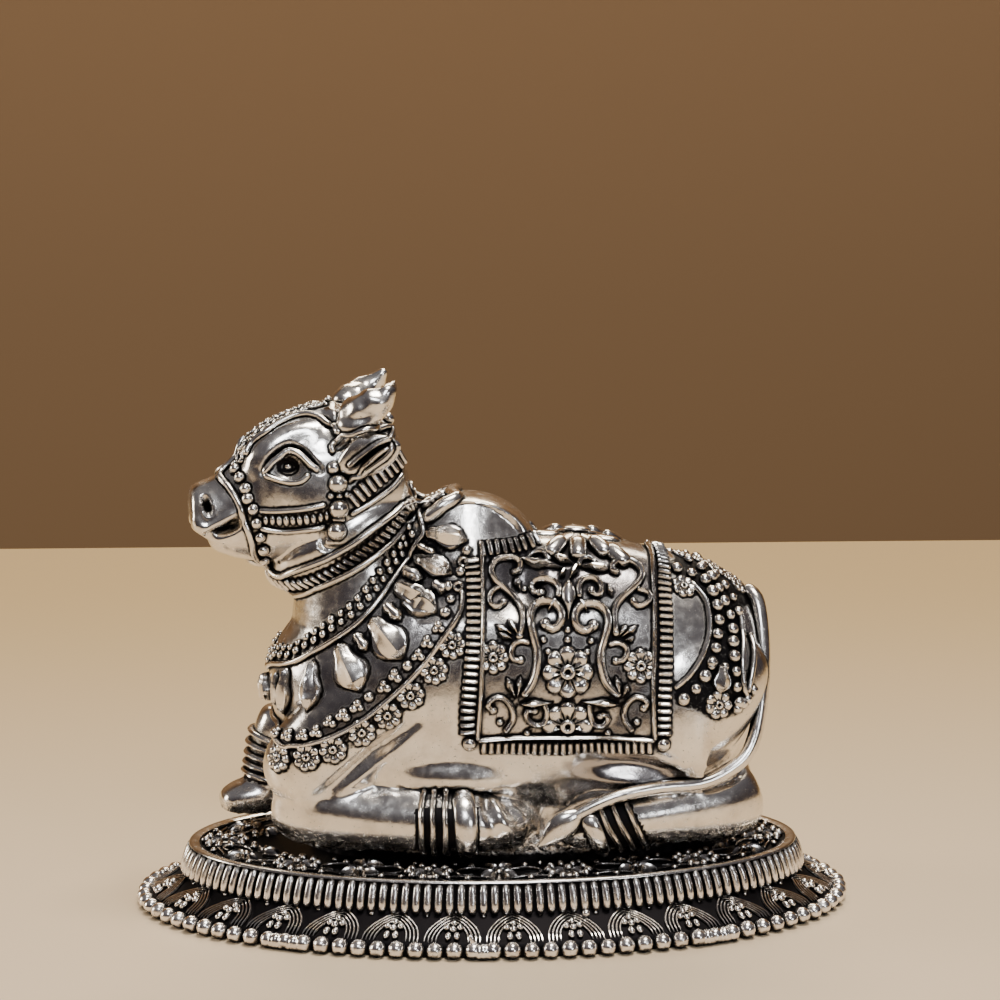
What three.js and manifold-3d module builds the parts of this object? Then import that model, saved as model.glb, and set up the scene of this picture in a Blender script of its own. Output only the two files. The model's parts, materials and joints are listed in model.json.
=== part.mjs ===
// A recumbent temple bull on an oval beaded base: two castings in antiqued silvered metal.
// Millimetres, +Z up. The origin is under the middle of the base. The bull faces -X.
import * as THREE from 'three';
import { mergeVertices } from 'three/addons/utils/BufferGeometryUtils.js';
import Module from 'manifold-3d';

const wasm = await Module();
wasm.setup();

// Driving sizes of the base
const BASE_LENGTH = 109.4;
const BASE_DEPTH = 65;
const PLATE_HEIGHT = 9.2;
const LIP_RISE = 0.5;
const LIP_WIDTH = 2.7;
const BAND_INSET = 7;
const BAND_FOOT = 5;
const FLUTE_COUNT = 144;
const FLUTE_RELIEF = 0.7;
const BEAD_DIAMETER = 2.7;
const BEAD_COUNT = 96;
const ARCH_COUNT = 32;
const ARCH_SHIFT = -1 / 3;
const ARCH_WIDTH = 6.4;
const ARCH_RELIEF = 0.8;
const ARCH_TAPER = 0.55;
const ROSETTE_DIAMETER = 7.2;
const ROSETTE_HEIGHT = 1.1;
const ROSETTE_COUNT = 10;
const ROSETTE_PETALS = 5;
const ROSETTE_NOTCH = 0.72;
const SEAT_GAP = 0.4;

// Driving sizes of the bull. It is drawn on a grid of GRID_LENGTH units from muzzle to tail,
// which lie GRID_PLATE units up where they meet the base's plate.
const FIGURE_LENGTH = 87;
const GRID_LENGTH = 87;
const GRID_PLATE = 9.2;
const CLOTH_THICKNESS = 0.7;
const RAIL_THICKNESS = 1.5;
const RAIL_WIDTH = 3;
const HEAD_TURN = THREE.MathUtils.degToRad(7);
const LEAF_RELIEF = 1.4;

const UNIT = FIGURE_LENGTH / GRID_LENGTH;
const MERGE_DISTANCE = 1e-4;
const OVAL_SEGMENTS = 48;
const SEAT_SIDES = 24;

const silver = new THREE.MeshStandardMaterial({ color: 0xb9b2a8, roughness: 0.22, metalness: 1 });
const darkSilver = new THREE.MeshStandardMaterial({ color: 0xa89c8c, roughness: 0.28, metalness: 1 });

// Solids and meshes
function solid(geometry) {
  geometry.deleteAttribute('normal');
  geometry.deleteAttribute('uv');
  const merged = mergeVertices(geometry, MERGE_DISTANCE);
  return new wasm.Manifold(new wasm.Mesh({
    numProp: 3,
    vertProperties: new Float32Array(merged.attributes.position.array),
    triVerts: new Uint32Array(merged.index.array),
  }));
}

function joined(solids) {
  return solids.reduce((whole, next) => whole.add(next));
}

function meshOf(form, name, material) {
  const { vertProperties, triVerts } = form.getMesh();
  const geometry = new THREE.BufferGeometry();
  geometry.setAttribute('position', new THREE.BufferAttribute(vertProperties, 3));
  geometry.setIndex(new THREE.BufferAttribute(triVerts, 1));
  geometry.computeVertexNormals();
  const mesh = new THREE.Mesh(geometry, material);
  mesh.name = name;
  return mesh;
}

// The base's ovals. All stand the same distance apart all round, so each is the outermost one
// drawn smaller in both directions, and a share of the way round means the same place on each.
const STRETCH = (BASE_LENGTH - BASE_DEPTH) / 2;
const beadRadius = BEAD_DIAMETER / 2;
const middleInset = BASE_DEPTH / 2;

const OVAL_STEPS = 7200;
const travelled = [0];
for (let i = 1; i <= OVAL_STEPS; i += 1) {
  const from = (2 * Math.PI * (i - 1)) / OVAL_STEPS;
  const to = (2 * Math.PI * i) / OVAL_STEPS;
  const across = (BASE_LENGTH / 2 - beadRadius) * (Math.cos(to) - Math.cos(from));
  const along = (BASE_DEPTH / 2 - beadRadius) * (Math.sin(to) - Math.sin(from));
  travelled.push(travelled[i - 1] + Math.hypot(across, along));
}

// The angle at a share of the way round, counted along the row of beads
function ovalAngle(share) {
  const wanted = travelled[OVAL_STEPS] * (share - Math.floor(share));
  const next = Math.max(1, travelled.findIndex((length) => length >= wanted));
  const part = (wanted - travelled[next - 1]) / (travelled[next] - travelled[next - 1]);
  return (2 * Math.PI * (next - 1 + part)) / OVAL_STEPS;
}

function ovalAngles(count, shift = 0) {
  return Array.from({ length: count }, (_, i) => ovalAngle((i + shift) / count));
}

function ovalPoint(angle, inset) {
  const depth = BASE_DEPTH / 2 - inset;
  return new THREE.Vector2((depth + STRETCH) * Math.cos(angle), depth * Math.sin(angle));
}

// A solid of oval slices. Its profile lists [inset, height] from the middle of the underside, and
// notch may change the inset of a column.
function ovalTurning(profile, angles, notch = (inset) => inset) {
  const points = profile.map(([inset, height]) => new THREE.Vector2(BASE_DEPTH / 2 - inset, height));
  const geometry = new THREE.LatheGeometry(points, angles.length);
  geometry.rotateX(Math.PI / 2);
  const place = geometry.attributes.position;
  for (let i = 0; i < place.count; i += 1) {
    const column = Math.floor(i / points.length) % angles.length;
    const inset = notch(profile[i % points.length][0], column);
    const spot = ovalPoint(angles[column], inset);
    const kept = inset < middleInset ? 1 : 0;
    place.setXY(i, spot.x * kept, spot.y * kept);
  }
  return solid(geometry);
}

function ovalPrism(outline, bottom, top) {
  const geometry = new THREE.ExtrudeGeometry(new THREE.Shape(outline), {
    depth: top - bottom,
    bevelEnabled: false,
    steps: 1,
  });
  geometry.translate(0, 0, bottom);
  return solid(geometry);
}

// The base's skirt, which slopes in from the beads to the band. Each of its facets holds one arch.
const lipHeight = PLATE_HEIGHT + LIP_RISE;
const skirtInset = BEAD_DIAMETER * 0.95;
const skirtFoot = BEAD_DIAMETER * 0.9;
const fluteValley = BAND_INSET + FLUTE_RELIEF;
const bandBite = 1;

function skirt() {
  return ovalTurning([
    [middleInset, skirtFoot - bandBite],
    [skirtInset, skirtFoot - bandBite],
    [skirtInset, skirtFoot],
    [fluteValley, BAND_FOOT],
    [middleInset, BAND_FOOT],
  ], ovalAngles(ARCH_COUNT, ARCH_SHIFT));
}

// The row of beads round the foot, in one ring. Every second column is the gap between two beads.
function beadedFoot() {
  return ovalTurning([
    [middleInset, 0],
    [beadRadius * 0.5, 0],
    [0, beadRadius],
    [beadRadius * 0.8, skirtFoot],
    [middleInset, skirtFoot],
  ], ovalAngles(BEAD_COUNT * 2, 1), (inset, column) => (column % 2 ? inset : Math.max(inset, beadRadius)));
}

// The fluted band, whose flat top is the lip
function flutedBand() {
  const outline = [];
  for (const [i, angle] of ovalAngles(FLUTE_COUNT * 2).entries()) {
    outline.push(ovalPoint(angle, i % 2 ? fluteValley : BAND_INSET));
  }
  return ovalPrism(outline, BAND_FOOT - bandBite, lipHeight);
}

function plateRecess() {
  const outline = ovalAngles(OVAL_SEGMENTS).map((angle) => ovalPoint(angle, BAND_INSET + LIP_WIDTH));
  return ovalPrism(outline, PLATE_HEIGHT, lipHeight + bandBite);
}

// A pointed arch on one facet of the skirt: a five-sided boss drawn out up the slope
function arch(from, to) {
  const middle = (inset, height) => {
    const spot = ovalPoint(from, inset).add(ovalPoint(to, inset)).multiplyScalar(0.5);
    return new THREE.Vector3(spot.x, spot.y, height);
  };
  const low = middle(skirtInset, skirtFoot);
  const up = middle(fluteValley, BAND_FOOT).sub(low);
  const rise = up.length();
  up.normalize();
  const chord = ovalPoint(to, skirtInset).sub(ovalPoint(from, skirtInset)).normalize();
  const across = new THREE.Vector3(chord.x, chord.y, 0);
  const boss = new THREE.CylinderGeometry(ARCH_TAPER, 1, ARCH_RELIEF * 2, 5);
  boss.rotateY(Math.PI);
  boss.rotateX(Math.PI / 2);
  boss.scale(ARCH_WIDTH / 2, rise / 2, 1);
  boss.translate(0, rise * 0.47, 0);
  const out = across.clone().cross(up);
  boss.applyMatrix4(new THREE.Matrix4().makeBasis(across, up, out).setPosition(low));
  return solid(boss);
}

function arches() {
  return Array.from({ length: ARCH_COUNT }, (_, i) => {
    const from = ovalAngle((i + ARCH_SHIFT) / ARCH_COUNT);
    const to = ovalAngle((i + 1 + ARCH_SHIFT) / ARCH_COUNT);
    return arch(from, to);
  });
}

// A rosette on the plate: a ring of petals round a boss
function rosette(angle) {
  const radius = ROSETTE_DIAMETER / 2;
  const place = ovalPoint(angle, BAND_INSET + LIP_WIDTH + radius + SEAT_GAP);
  const profile = [
    new THREE.Vector2(0, -LIP_RISE),
    new THREE.Vector2(radius, -LIP_RISE),
    new THREE.Vector2(radius * 0.75, ROSETTE_HEIGHT * 0.8),
    new THREE.Vector2(0, ROSETTE_HEIGHT),
  ];
  const geometry = new THREE.LatheGeometry(profile, ROSETTE_PETALS * 2);
  geometry.rotateX(Math.PI / 2);
  const spot = geometry.attributes.position;
  for (let i = 0; i < spot.count; i += 1) {
    const notch = Math.floor(i / profile.length) % 2 ? ROSETTE_NOTCH : 1;
    spot.setXY(i, spot.getX(i) * notch, spot.getY(i) * notch);
  }
  geometry.translate(place.x, place.y, PLATE_HEIGHT);
  return solid(geometry);
}

// The oval seat under the bull, on the grid, and its outline
const SEAT = { length: 62, depth: 27, shift: 2.5, height: 11 };

function seatOutline(gap) {
  const length = (SEAT.length * UNIT) / 2 + gap;
  const depth = (SEAT.depth * UNIT) / 2 + gap;
  return Array.from({ length: SEAT_SIDES }, (_, i) => {
    const angle = (2 * Math.PI * i) / SEAT_SIDES;
    return new THREE.Vector2(SEAT.shift * UNIT + length * Math.cos(angle), depth * Math.sin(angle));
  });
}

// The plate's carving stops short of the seat that the bull lies on
function plateCarving() {
  const kept = ovalPrism(seatOutline(SEAT_GAP), PLATE_HEIGHT, PLATE_HEIGHT + 2 * ROSETTE_HEIGHT);
  return joined(ovalAngles(ROSETTE_COUNT).map(rosette)).subtract(kept);
}

function base() {
  const body = joined([beadedFoot(), skirt(), flutedBand()]).subtract(plateRecess());
  return joined([body, ...arches(), plateCarving()]);
}

// The bull's forms. A point of the drawing grid, in millimetres:
function at(x, y, z) {
  return new THREE.Vector3(x * UNIT, y * UNIT, PLATE_HEIGHT + (z - GRID_PLATE) * UNIT);
}

// Stations along a form: each [x, y, z, half width, half height] on the grid
function stationLines(stations) {
  const line = new THREE.CatmullRomCurve3(stations.map(([x, y, z]) => at(x, y, z)), false, 'catmullrom');
  const section = new THREE.CatmullRomCurve3(
    stations.map(([, , , wide, high]) => new THREE.Vector3(wide * UNIT, high * UNIT, 0)),
    false,
    'catmullrom',
  );
  return { line, section };
}

// A ball drawn out along its stations. A high blunt makes the ends square, a low one round.
function drawnBall(stations, sides, rings, blunt = 4) {
  const { line, section } = stationLines(stations);
  const geometry = new THREE.SphereGeometry(1, sides, rings);
  const place = geometry.attributes.position;
  const across = new THREE.Vector3();
  const rise = new THREE.Vector3();
  for (let i = 0; i < place.count; i += 1) {
    const down = place.getY(i);
    const share = (1 - down) / 2;
    const around = Math.atan2(place.getZ(i), place.getX(i));
    const round = (1 - Math.abs(down) ** blunt) ** (1 / blunt) || 0;
    const ahead = line.getTangent(share);
    across.set(0, 1, 0).addScaledVector(ahead, -ahead.y).normalize();
    rise.crossVectors(ahead, across);
    const size = section.getPoint(share);
    const spot = line.getPoint(share);
    spot.addScaledVector(across, Math.cos(around) * size.x * round);
    spot.addScaledVector(rise, Math.sin(around) * size.y * round);
    place.setXYZ(i, spot.x, spot.y, spot.z);
  }
  return geometry;
}

// A limb turned along its stations: profile lists [share of its length, share of its thickness]
function limb(stations, profile, sides) {
  const { line, section } = stationLines(stations);
  const points = profile.map(([share, swell]) => new THREE.Vector2(swell, share));
  const geometry = new THREE.LatheGeometry(points, sides);
  const place = geometry.attributes.position;
  for (let i = 0; i < place.count; i += 1) {
    const share = place.getY(i);
    const ahead = line.getTangent(share);
    const size = section.getPoint(share);
    const across = new THREE.Vector3(0, 1, 0).addScaledVector(ahead, -ahead.y).normalize();
    const spot = line.getPoint(share);
    spot.addScaledVector(across, place.getX(i) * size.x);
    spot.addScaledVector(across.cross(ahead), place.getZ(i) * size.y);
    place.setXYZ(i, spot.x, spot.y, spot.z);
  }
  return solid(geometry);
}

function cord(points, radius, sides, steps) {
  const section = new THREE.Shape(Array.from({ length: sides }, (_, i) => {
    const angle = (2 * Math.PI * i) / sides;
    return new THREE.Vector2(radius * UNIT * Math.cos(angle), radius * UNIT * Math.sin(angle));
  }));
  return solid(new THREE.ExtrudeGeometry(section, {
    extrudePath: new THREE.CatmullRomCurve3(points, false, 'catmullrom'),
    steps,
    bevelEnabled: false,
  }));
}

// Body, neck, hump and haunches
const TORSO = [
  [-32.3, 0, 27, 9, 12.5],
  [-26, 0, 29, 14, 17],
  [-18, 0, 31, 16, 20.6],
  [-8, 0, 33, 16.3, 23.2],
  [2, 0, 33.3, 16.3, 23.6],
  [12, 0, 33.3, 16.3, 23.4],
  [22, 0, 32.6, 16.3, 22.3],
  [30.5, 0, 31.6, 15.6, 21.2],
  [39.3, 0, 29, 12, 17.5],
];
const NECK = [
  [-19.6, 0, 70, 7.2, 7.4],
  [-20.6, 0, 60, 8.2, 8.2],
  [-20.5, 0, 50, 10, 9.6],
  [-18, 0, 38, 14.5, 14.5],
];
const HUMP = [
  [-10.5, 0, 49.5, 8, 10],
  [-3.6, 0, 53, 8.5, 10.8],
  [5.2, 0, 49.5, 7.5, 8.5],
];
const HAUNCH = [
  [12.5, -10.5, 21, 6, 8],
  [20, -9.5, 27, 8, 12],
  [29, -7.5, 31, 9.5, 15],
  [36, -5, 27, 8, 14],
];
const SHOULDER = [
  [-31.2, -8.5, 18, 6, 8],
  [-26, -9.6, 24, 6.6, 8.6],
  [-19, -9.6, 32, 6.6, 9],
  [-13, -8, 40, 6.4, 9],
];

function grown(stations, extra) {
  return stations.map(([x, y, z, wide, high]) => [x, y, z, wide + extra / UNIT, high + extra / UNIT]);
}

function mirrored(stations) {
  return stations.map(([x, y, z, ...size]) => [x, -y, z, ...size]);
}

const torso = solid(drawnBall(TORSO, 16, 13, 4.5));
const trunk = joined([
  torso,
  solid(drawnBall(NECK, 10, 6, 6)),
  solid(drawnBall(HUMP, 10, 7, 3)),
  ...[HAUNCH, mirrored(HAUNCH)].map((stations) => solid(drawnBall(stations, 10, 7, 3))),
  solid(drawnBall(SHOULDER, 8, 6, 3.5)),
]);

// The trunk's skin, for what lies on it
const skin = meshOf(trunk, 'skin', new THREE.MeshStandardMaterial({ side: THREE.DoubleSide }));
const caster = new THREE.Raycaster();

function onSkin(from, towards) {
  caster.set(from, towards.clone().normalize());
  const hits = caster.intersectObject(skin);
  return hits[hits.length - 1].point;
}

// A point of the flank: side is -1 on the near flank and 1 on the far one
function onFlank(side, x, z) {
  const far = at(x, side * GRID_LENGTH, z);
  caster.set(far, new THREE.Vector3(0, -side, 0));
  return caster.intersectObject(skin)[0].point;
}

// A ring of points where a tilted plane cuts the skin. Its ends pass each other a little.
function ringRoute(x, z, tilt, count) {
  const from = -0.06;
  const to = 2 * Math.PI - from;
  const middle = at(x, 0, z);
  return Array.from({ length: count + 1 }, (_, i) => {
    const angle = from + ((to - from) * i) / count;
    const along = new THREE.Vector3(Math.cos(tilt), 0, Math.sin(tilt)).multiplyScalar(Math.cos(angle));
    return onSkin(middle, along.add(new THREE.Vector3(0, Math.sin(angle), 0)));
  });
}

// The legs. Each foreleg and hind leg lies folded, its underside clear of the plate.
const NEAR_FORE = [
  [-32.6, -7, 18.6, 6, 6.6],
  [-26, -9.5, 17.2, 6, 6.2],
  [-18, -12.3, 16.4, 5, 5],
  [-10.5, -14.3, 16.2, 4.5, 4.4],
  [-3, -15, 15.9, 4.4, 4.2],
  [4.8, -13.5, 15.2, 3.4, 3.4],
];
const FAR_FORE_ARM = [
  [-18, 9, 34, 6.5, 8],
  [-25, 10.2, 28.5, 6, 7],
  [-31.5, 10.4, 24.5, 4.6, 4.8],
];
const FAR_FORE_SHANK = [
  [-31.5, 10.4, 27.4, 4, 4.2],
  [-33.2, 10.6, 22.5, 4, 4],
  [-34.2, 10.6, 17.5, 3.8, 3.8],
  [-35, 10.4, 13, 3.8, 4.2],
];
const FAR_FORE_HOOF = [
  [-33, 10.4, 14, 4, 3],
  [-38, 10, 13.8, 4, 2.8],
  [-42, 9, 13, 3.2, 1.9],
];
const HIND = [
  [38.6, -4, 18.6, 5, 6.6],
  [34.5, -6.8, 17, 5.8, 6.2],
  [29, -9.8, 16.5, 5, 5.2],
  [22, -12.6, 16.2, 4.4, 4.3],
  [15, -14.8, 15.9, 4.2, 4.1],
  [8.6, -15.8, 15, 3.2, 3.1],
];
const BAND_SWELL = 1.16;
const THIN_BAND = 0.056;
const FORE_BANDS = { thin: [0.57, 0.63, 0.69], cuff: [0.74, 0.86] };
const HIND_BANDS = { thin: [0.47, 0.54, 0.61], cuff: [0.67, 0.78] };
const SHANK_BANDS = { thin: [0.36, 0.48, 0.6, 0.72], cuff: [0.8, 0.86] };

// A folded leg, tapering at its ends, with thin bands and a broad cuff round it
function leg(stations, { thin, cuff }) {
  const [cuffStart, cuffEnd] = cuff;
  const edge = THIN_BAND / 2;
  return limb(stations, [
    [0, 0],
    [0.03, 0.75],
    [0.14, 1],
    [thin[0] - edge, 1],
    ...thin.flatMap((share) => [[share, BAND_SWELL], [share + edge, 1]]),
    [cuffStart + edge, BAND_SWELL],
    [cuffEnd, BAND_SWELL],
    [cuffEnd + edge / 2, 1],
    [0.95, 0.9],
    [0.99, 0.6],
    [1, 0],
  ], 8);
}

const legs = [
  leg(NEAR_FORE, FORE_BANDS),
  leg(HIND, HIND_BANDS),
  leg(mirrored(HIND), HIND_BANDS),
  leg(FAR_FORE_SHANK, SHANK_BANDS),
  solid(drawnBall(FAR_FORE_ARM, 8, 6, 4)),
  solid(drawnBall(FAR_FORE_HOOF, 8, 5, 4)),
];

// Head with horns, ears, eyes and halter, made straight and then turned
const HEAD = [
  [-13.5, 0, 66.5, 7, 9.5],
  [-22, 0, 65.5, 8.9, 12.8],
  [-29.5, 0, 64.6, 8.8, 12.6],
  [-35.5, 0, 62.2, 6.6, 9.6],
  [-41, 0, 61, 5, 6.4],
  [-45.7, 0, 61.2, 4.6, 4.4],
];
const HORN = [
  [-22.4, -4.2, 75, 3.2, 3.2],
  [-19.4, -6, 77.2, 2.7, 2.7],
  [-17, -6.4, 79.2, 1.8, 1.8],
  [-15.2, -5.6, 81.6, 0.5, 0.5],
];
const EAR = [
  [-24.4, -8, 68.2, 1.2, 2],
  [-20.5, -9.2, 70.2, 1.1, 3.6],
  [-16.8, -10, 72, 0.9, 3],
  [-13.6, -10.6, 73.4, 0.6, 0.9],
];
const EYE = [[-32.6, -7.2, 68.3, 1.6, 1.7], [-28.4, -8, 68.7, 1.6, 1.7]];

function headForms() {
  const forms = [drawnBall(HEAD, 12, 12, 5)];
  for (const pair of [(stations) => stations, mirrored]) {
    forms.push(drawnBall(pair(HORN), 6, 6, 5));
    forms.push(drawnBall(pair(EAR), 6, 5, 3));
    forms.push(drawnBall(pair(EYE), 6, 4, 2));
  }
  const pivot = at(-18, 0, 0);
  return forms.map((geometry) => {
    geometry.translate(-pivot.x, 0, 0);
    geometry.rotateZ(HEAD_TURN);
    geometry.translate(pivot.x, 0, 0);
    return solid(geometry);
  });
}

// Tail, hanging from the rump and laid along the hind leg to its tuft
const TAIL = [
  [38, 0, 47], [39.6, -5, 38.5], [38.8, -8.4, 30], [36.4, -11, 24.4], [31, -14.6, 21],
  [24, -16.4, 20.9], [18, -17.8, 20], [12.8, -18.6, 18],
];
const TUFT = [
  [14, -18.3, 18.8, 1, 1.2],
  [10.2, -18.9, 16.6, 1.6, 2.6],
  [6.6, -19, 13.4, 0.8, 0.8],
];

function tail() {
  const route = TAIL.map(([x, y, z]) => at(x, y, z));
  return [cord(route, 1.4, 5, 14), solid(drawnBall(TUFT, 6, 5, 3))];
}

// Collar and the two cords of the pectoral, which lie in tilted planes
const COLLAR = { x: -22, z: 54.5, tilt: 0.5, radius: 1.7 };
const UPPER_CORD = { x: -21.5, z: 49.3, tilt: 0.74, radius: 1 };
const LOWER_CORD = { x: -17, z: 39.4, tilt: 0.72, radius: 1.1 };
const ROLL = [[-11, -6.5, 54], [-9.5, -4.5, 60], [-7, 0, 63], [-9.5, 4.5, 60], [-11, 6.5, 54]];

function necklace({ x, z, tilt, radius }, count) {
  return cord(ringRoute(x, z, tilt, count), radius, 4, count);
}

// Leaves between the two cords, each a low pyramid whose long corner points to the lower cord
const LEAVES = [[-27.6, 37.6], [-21.8, 40.4], [-16.4, 44.4], [-12, 49.6], [-8.6, 54.6]];
const LEAF = { length: 4.6, width: 3.1 };

function leaf(side, x, z) {
  const geometry = new THREE.ConeGeometry(1, 2 * LEAF_RELIEF, 4);
  geometry.scale(LEAF.width * UNIT, 1, LEAF.length * UNIT);
  geometry.rotateY(LOWER_CORD.tilt);
  geometry.rotateX(side > 0 ? -Math.PI / 2 : Math.PI / 2);
  const spot = onFlank(side, x, z);
  return solid(geometry.translate(spot.x, spot.y, spot.z));
}

// Saddle cloth over the back, with its frame and scrolls
const CLOTH = { front: -5.6, rear: 26.2, hem: 26.9 };
const SCROLL = [
  [8.6, 33.5], [4.4, 36], [3.6, 42], [5.2, 47.5], [9, 48.4], [9.2, 44.6], [7, 44.2],
];
const FLOWERS = [[10.9, 35.4, 2.4], [10.9, 45.6, 1.8]];

function clothWindow(inset) {
  const { front, rear, hem } = CLOTH;
  const low = at(front + inset, 0, hem + inset);
  const high = at(rear - inset, 0, GRID_LENGTH);
  const shape = new THREE.Shape([
    new THREE.Vector2(low.x, low.z),
    new THREE.Vector2(high.x, low.z),
    new THREE.Vector2(high.x, high.z),
    new THREE.Vector2(low.x, high.z),
  ]);
  const depth = GRID_LENGTH * UNIT;
  const geometry = new THREE.ExtrudeGeometry(shape, { depth, bevelEnabled: false, steps: 1 });
  geometry.rotateX(Math.PI / 2);
  geometry.translate(0, depth / 2, 0);
  return solid(geometry);
}

function cloth() {
  const ground = solid(drawnBall(grown(TORSO, CLOTH_THICKNESS), 16, 13, 4.5)).intersect(clothWindow(0));
  const frame = clothWindow(0).subtract(clothWindow(RAIL_WIDTH));
  const rails = solid(drawnBall(grown(TORSO, RAIL_THICKNESS), 16, 13, 4.5)).intersect(frame);
  return [ground, rails];
}

function clothCarving(side) {
  const middle = (CLOTH.front + CLOTH.rear) / 2;
  const forms = [1, -1].map((way) => {
    const route = SCROLL.map(([x, z]) => onFlank(side, way > 0 ? x : 2 * middle - x, z));
    return cord(route.map((spot) => spot.setY(spot.y + side * CLOTH_THICKNESS)), 0.8, 4, 7);
  });
  for (const [x, z, radius] of FLOWERS) {
    const spot = onFlank(side, x, z);
    const disc = new THREE.CylinderGeometry(radius * UNIT, radius * UNIT, 4 * CLOTH_THICKNESS, 6);
    forms.push(solid(disc.translate(spot.x, spot.y + side * CLOTH_THICKNESS, spot.z)));
  }
  return forms;
}

function seat() {
  return ovalPrism(seatOutline(0), PLATE_HEIGHT, PLATE_HEIGHT + SEAT.height * UNIT);
}

function bull() {
  return joined([
    trunk,
    seat(),
    ...legs,
    ...headForms(),
    ...tail(),
    necklace(COLLAR, 10),
    necklace(UPPER_CORD, 12),
    necklace(LOWER_CORD, 12),
    cord(ROLL.map(([x, y, z]) => at(x, y, z)), 2, 5, 8),
    ...cloth(),
    ...[-1, 1].flatMap(clothCarving),
    ...[-1, 1].flatMap((side) => LEAVES.map(([x, z]) => leaf(side, x, z))),
  ]);
}

const group = new THREE.Group();
group.add(meshOf(base(), 'oval_base', darkSilver));
group.add(meshOf(bull(), 'bull_figure', silver));

export default group;
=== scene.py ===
# %% [markdown]
# # A silver temple bull on its oval base
# The real thing is two castings in a silvered alloy: a base with a beaded foot, and a lying bull that is
# covered with ornament. The metal is blackened in a bath and then polished, so the black stays in every
# hollow. This lesson rebuilds it: first the camera, then a few tools, the base, the bull's plain
# form, the ornament that lies on its skin, and last the stage and its lights.

# %% The frame
import bisect
import json
import math
import random

import bmesh
import bpy
from mathutils import Euler, Matrix, Vector, noise
from mathutils.bvhtree import BVHTree
from mathutils.kdtree import KDTree

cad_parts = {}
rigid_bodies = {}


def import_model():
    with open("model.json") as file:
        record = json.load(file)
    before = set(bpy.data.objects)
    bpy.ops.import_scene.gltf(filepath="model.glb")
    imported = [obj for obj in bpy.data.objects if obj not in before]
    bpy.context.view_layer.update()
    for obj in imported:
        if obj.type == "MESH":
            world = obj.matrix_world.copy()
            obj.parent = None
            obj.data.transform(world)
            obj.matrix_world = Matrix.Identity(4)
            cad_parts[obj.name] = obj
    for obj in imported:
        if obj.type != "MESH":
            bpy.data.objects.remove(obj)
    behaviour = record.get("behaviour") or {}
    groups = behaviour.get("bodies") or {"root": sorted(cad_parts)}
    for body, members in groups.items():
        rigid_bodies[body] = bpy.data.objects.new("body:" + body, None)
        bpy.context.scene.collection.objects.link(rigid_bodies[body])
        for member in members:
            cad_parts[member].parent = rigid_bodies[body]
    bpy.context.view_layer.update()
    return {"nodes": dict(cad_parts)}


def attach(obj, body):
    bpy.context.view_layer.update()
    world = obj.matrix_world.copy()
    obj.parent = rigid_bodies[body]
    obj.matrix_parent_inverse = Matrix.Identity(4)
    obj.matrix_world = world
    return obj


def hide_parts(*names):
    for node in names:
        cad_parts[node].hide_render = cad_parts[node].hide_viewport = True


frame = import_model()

METRE = 0.001
UP = Vector((0, 0, 1))
TAILWARD = Vector((1, 0, 0))
print("the frame holds", sorted(frame["nodes"]))

# %% [markdown]
# ## The camera
# The figure was photographed from its near flank, a little from above. Ornament that can be measured in
# the photograph is placed by a line of sight: from the camera, through a pixel, to the figure's
# skin. So the camera comes first. Every length on the figure is in millimetres until a piece is handed
# over, and the stage is in metres.

# %% The camera and its lines of sight
PHOTO_PIXELS = 1000
FOCAL_PIXELS = 3351.4
SENSOR_WIDTH = 36.0
CAMERA_DISTANCE = 520.0
CAMERA_AZIMUTH = math.radians(-2.5)
CAMERA_ELEVATION = math.radians(17.2)
AXIS_AZIMUTH = math.radians(-2.62)
AXIS_DIP = math.radians(10.46)


def direction(azimuth, elevation):
    """The direction that lies at an angle round the figure and an angle up from level"""
    flat = math.cos(elevation)
    return Vector((math.sin(azimuth) * flat, -math.cos(azimuth) * flat, math.sin(elevation)))


CAMERA_PLACE = direction(CAMERA_AZIMUTH, CAMERA_ELEVATION) * CAMERA_DISTANCE
VIEW_BACK = direction(AXIS_AZIMUTH, AXIS_DIP)
VIEW_RIGHT = Vector((math.cos(AXIS_AZIMUTH), math.sin(AXIS_AZIMUTH), 0))
VIEW_UP = VIEW_BACK.cross(VIEW_RIGHT)

camera_data = bpy.data.cameras.new("camera")
camera_data.lens = FOCAL_PIXELS * SENSOR_WIDTH / PHOTO_PIXELS
camera_data.sensor_width = SENSOR_WIDTH
camera_data.clip_start = 0.01
camera = bpy.data.objects.new("camera", camera_data)
camera.location = CAMERA_PLACE * METRE
camera.rotation_euler = Euler((math.pi / 2 - AXIS_DIP, 0, AXIS_AZIMUTH))
bpy.context.scene.collection.objects.link(camera)
bpy.context.scene.camera = camera


def sight(pixel):
    """The direction from the camera through a pixel"""
    across = (pixel[0] - PHOTO_PIXELS / 2) / FOCAL_PIXELS
    down = (pixel[1] - PHOTO_PIXELS / 2) / FOCAL_PIXELS
    return (VIEW_RIGHT * across - VIEW_UP * down - VIEW_BACK).normalized()


def pixel_of(point):
    """Where the camera sees a point, as a pixel"""
    away = point - CAMERA_PLACE
    depth = -away.dot(VIEW_BACK)
    return (
        PHOTO_PIXELS / 2 + FOCAL_PIXELS * away.dot(VIEW_RIGHT) / depth,
        PHOTO_PIXELS / 2 - FOCAL_PIXELS * away.dot(VIEW_UP) / depth,
    )


print("the origin is seen at", [round(n) for n in pixel_of(Vector())])

# %% [markdown]
# ## Smooth lines
# Cords, scrolls, horns and the bull's body all follow smooth lines through a few given points. A
# Catmull-Rom line passes through its points, so a maker can read them off the work. Walking the line by
# its length keeps beads and ribs evenly spaced.


# %% Smooth lines
def within(value, low=0.0, high=1.0):
    """The value, kept between low and high"""
    return min(max(value, low), high)


def part_way(value, start, end):
    """How far a value has come from start to end, kept between 0 and 1"""
    return within((value - start) / (end - start))


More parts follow.
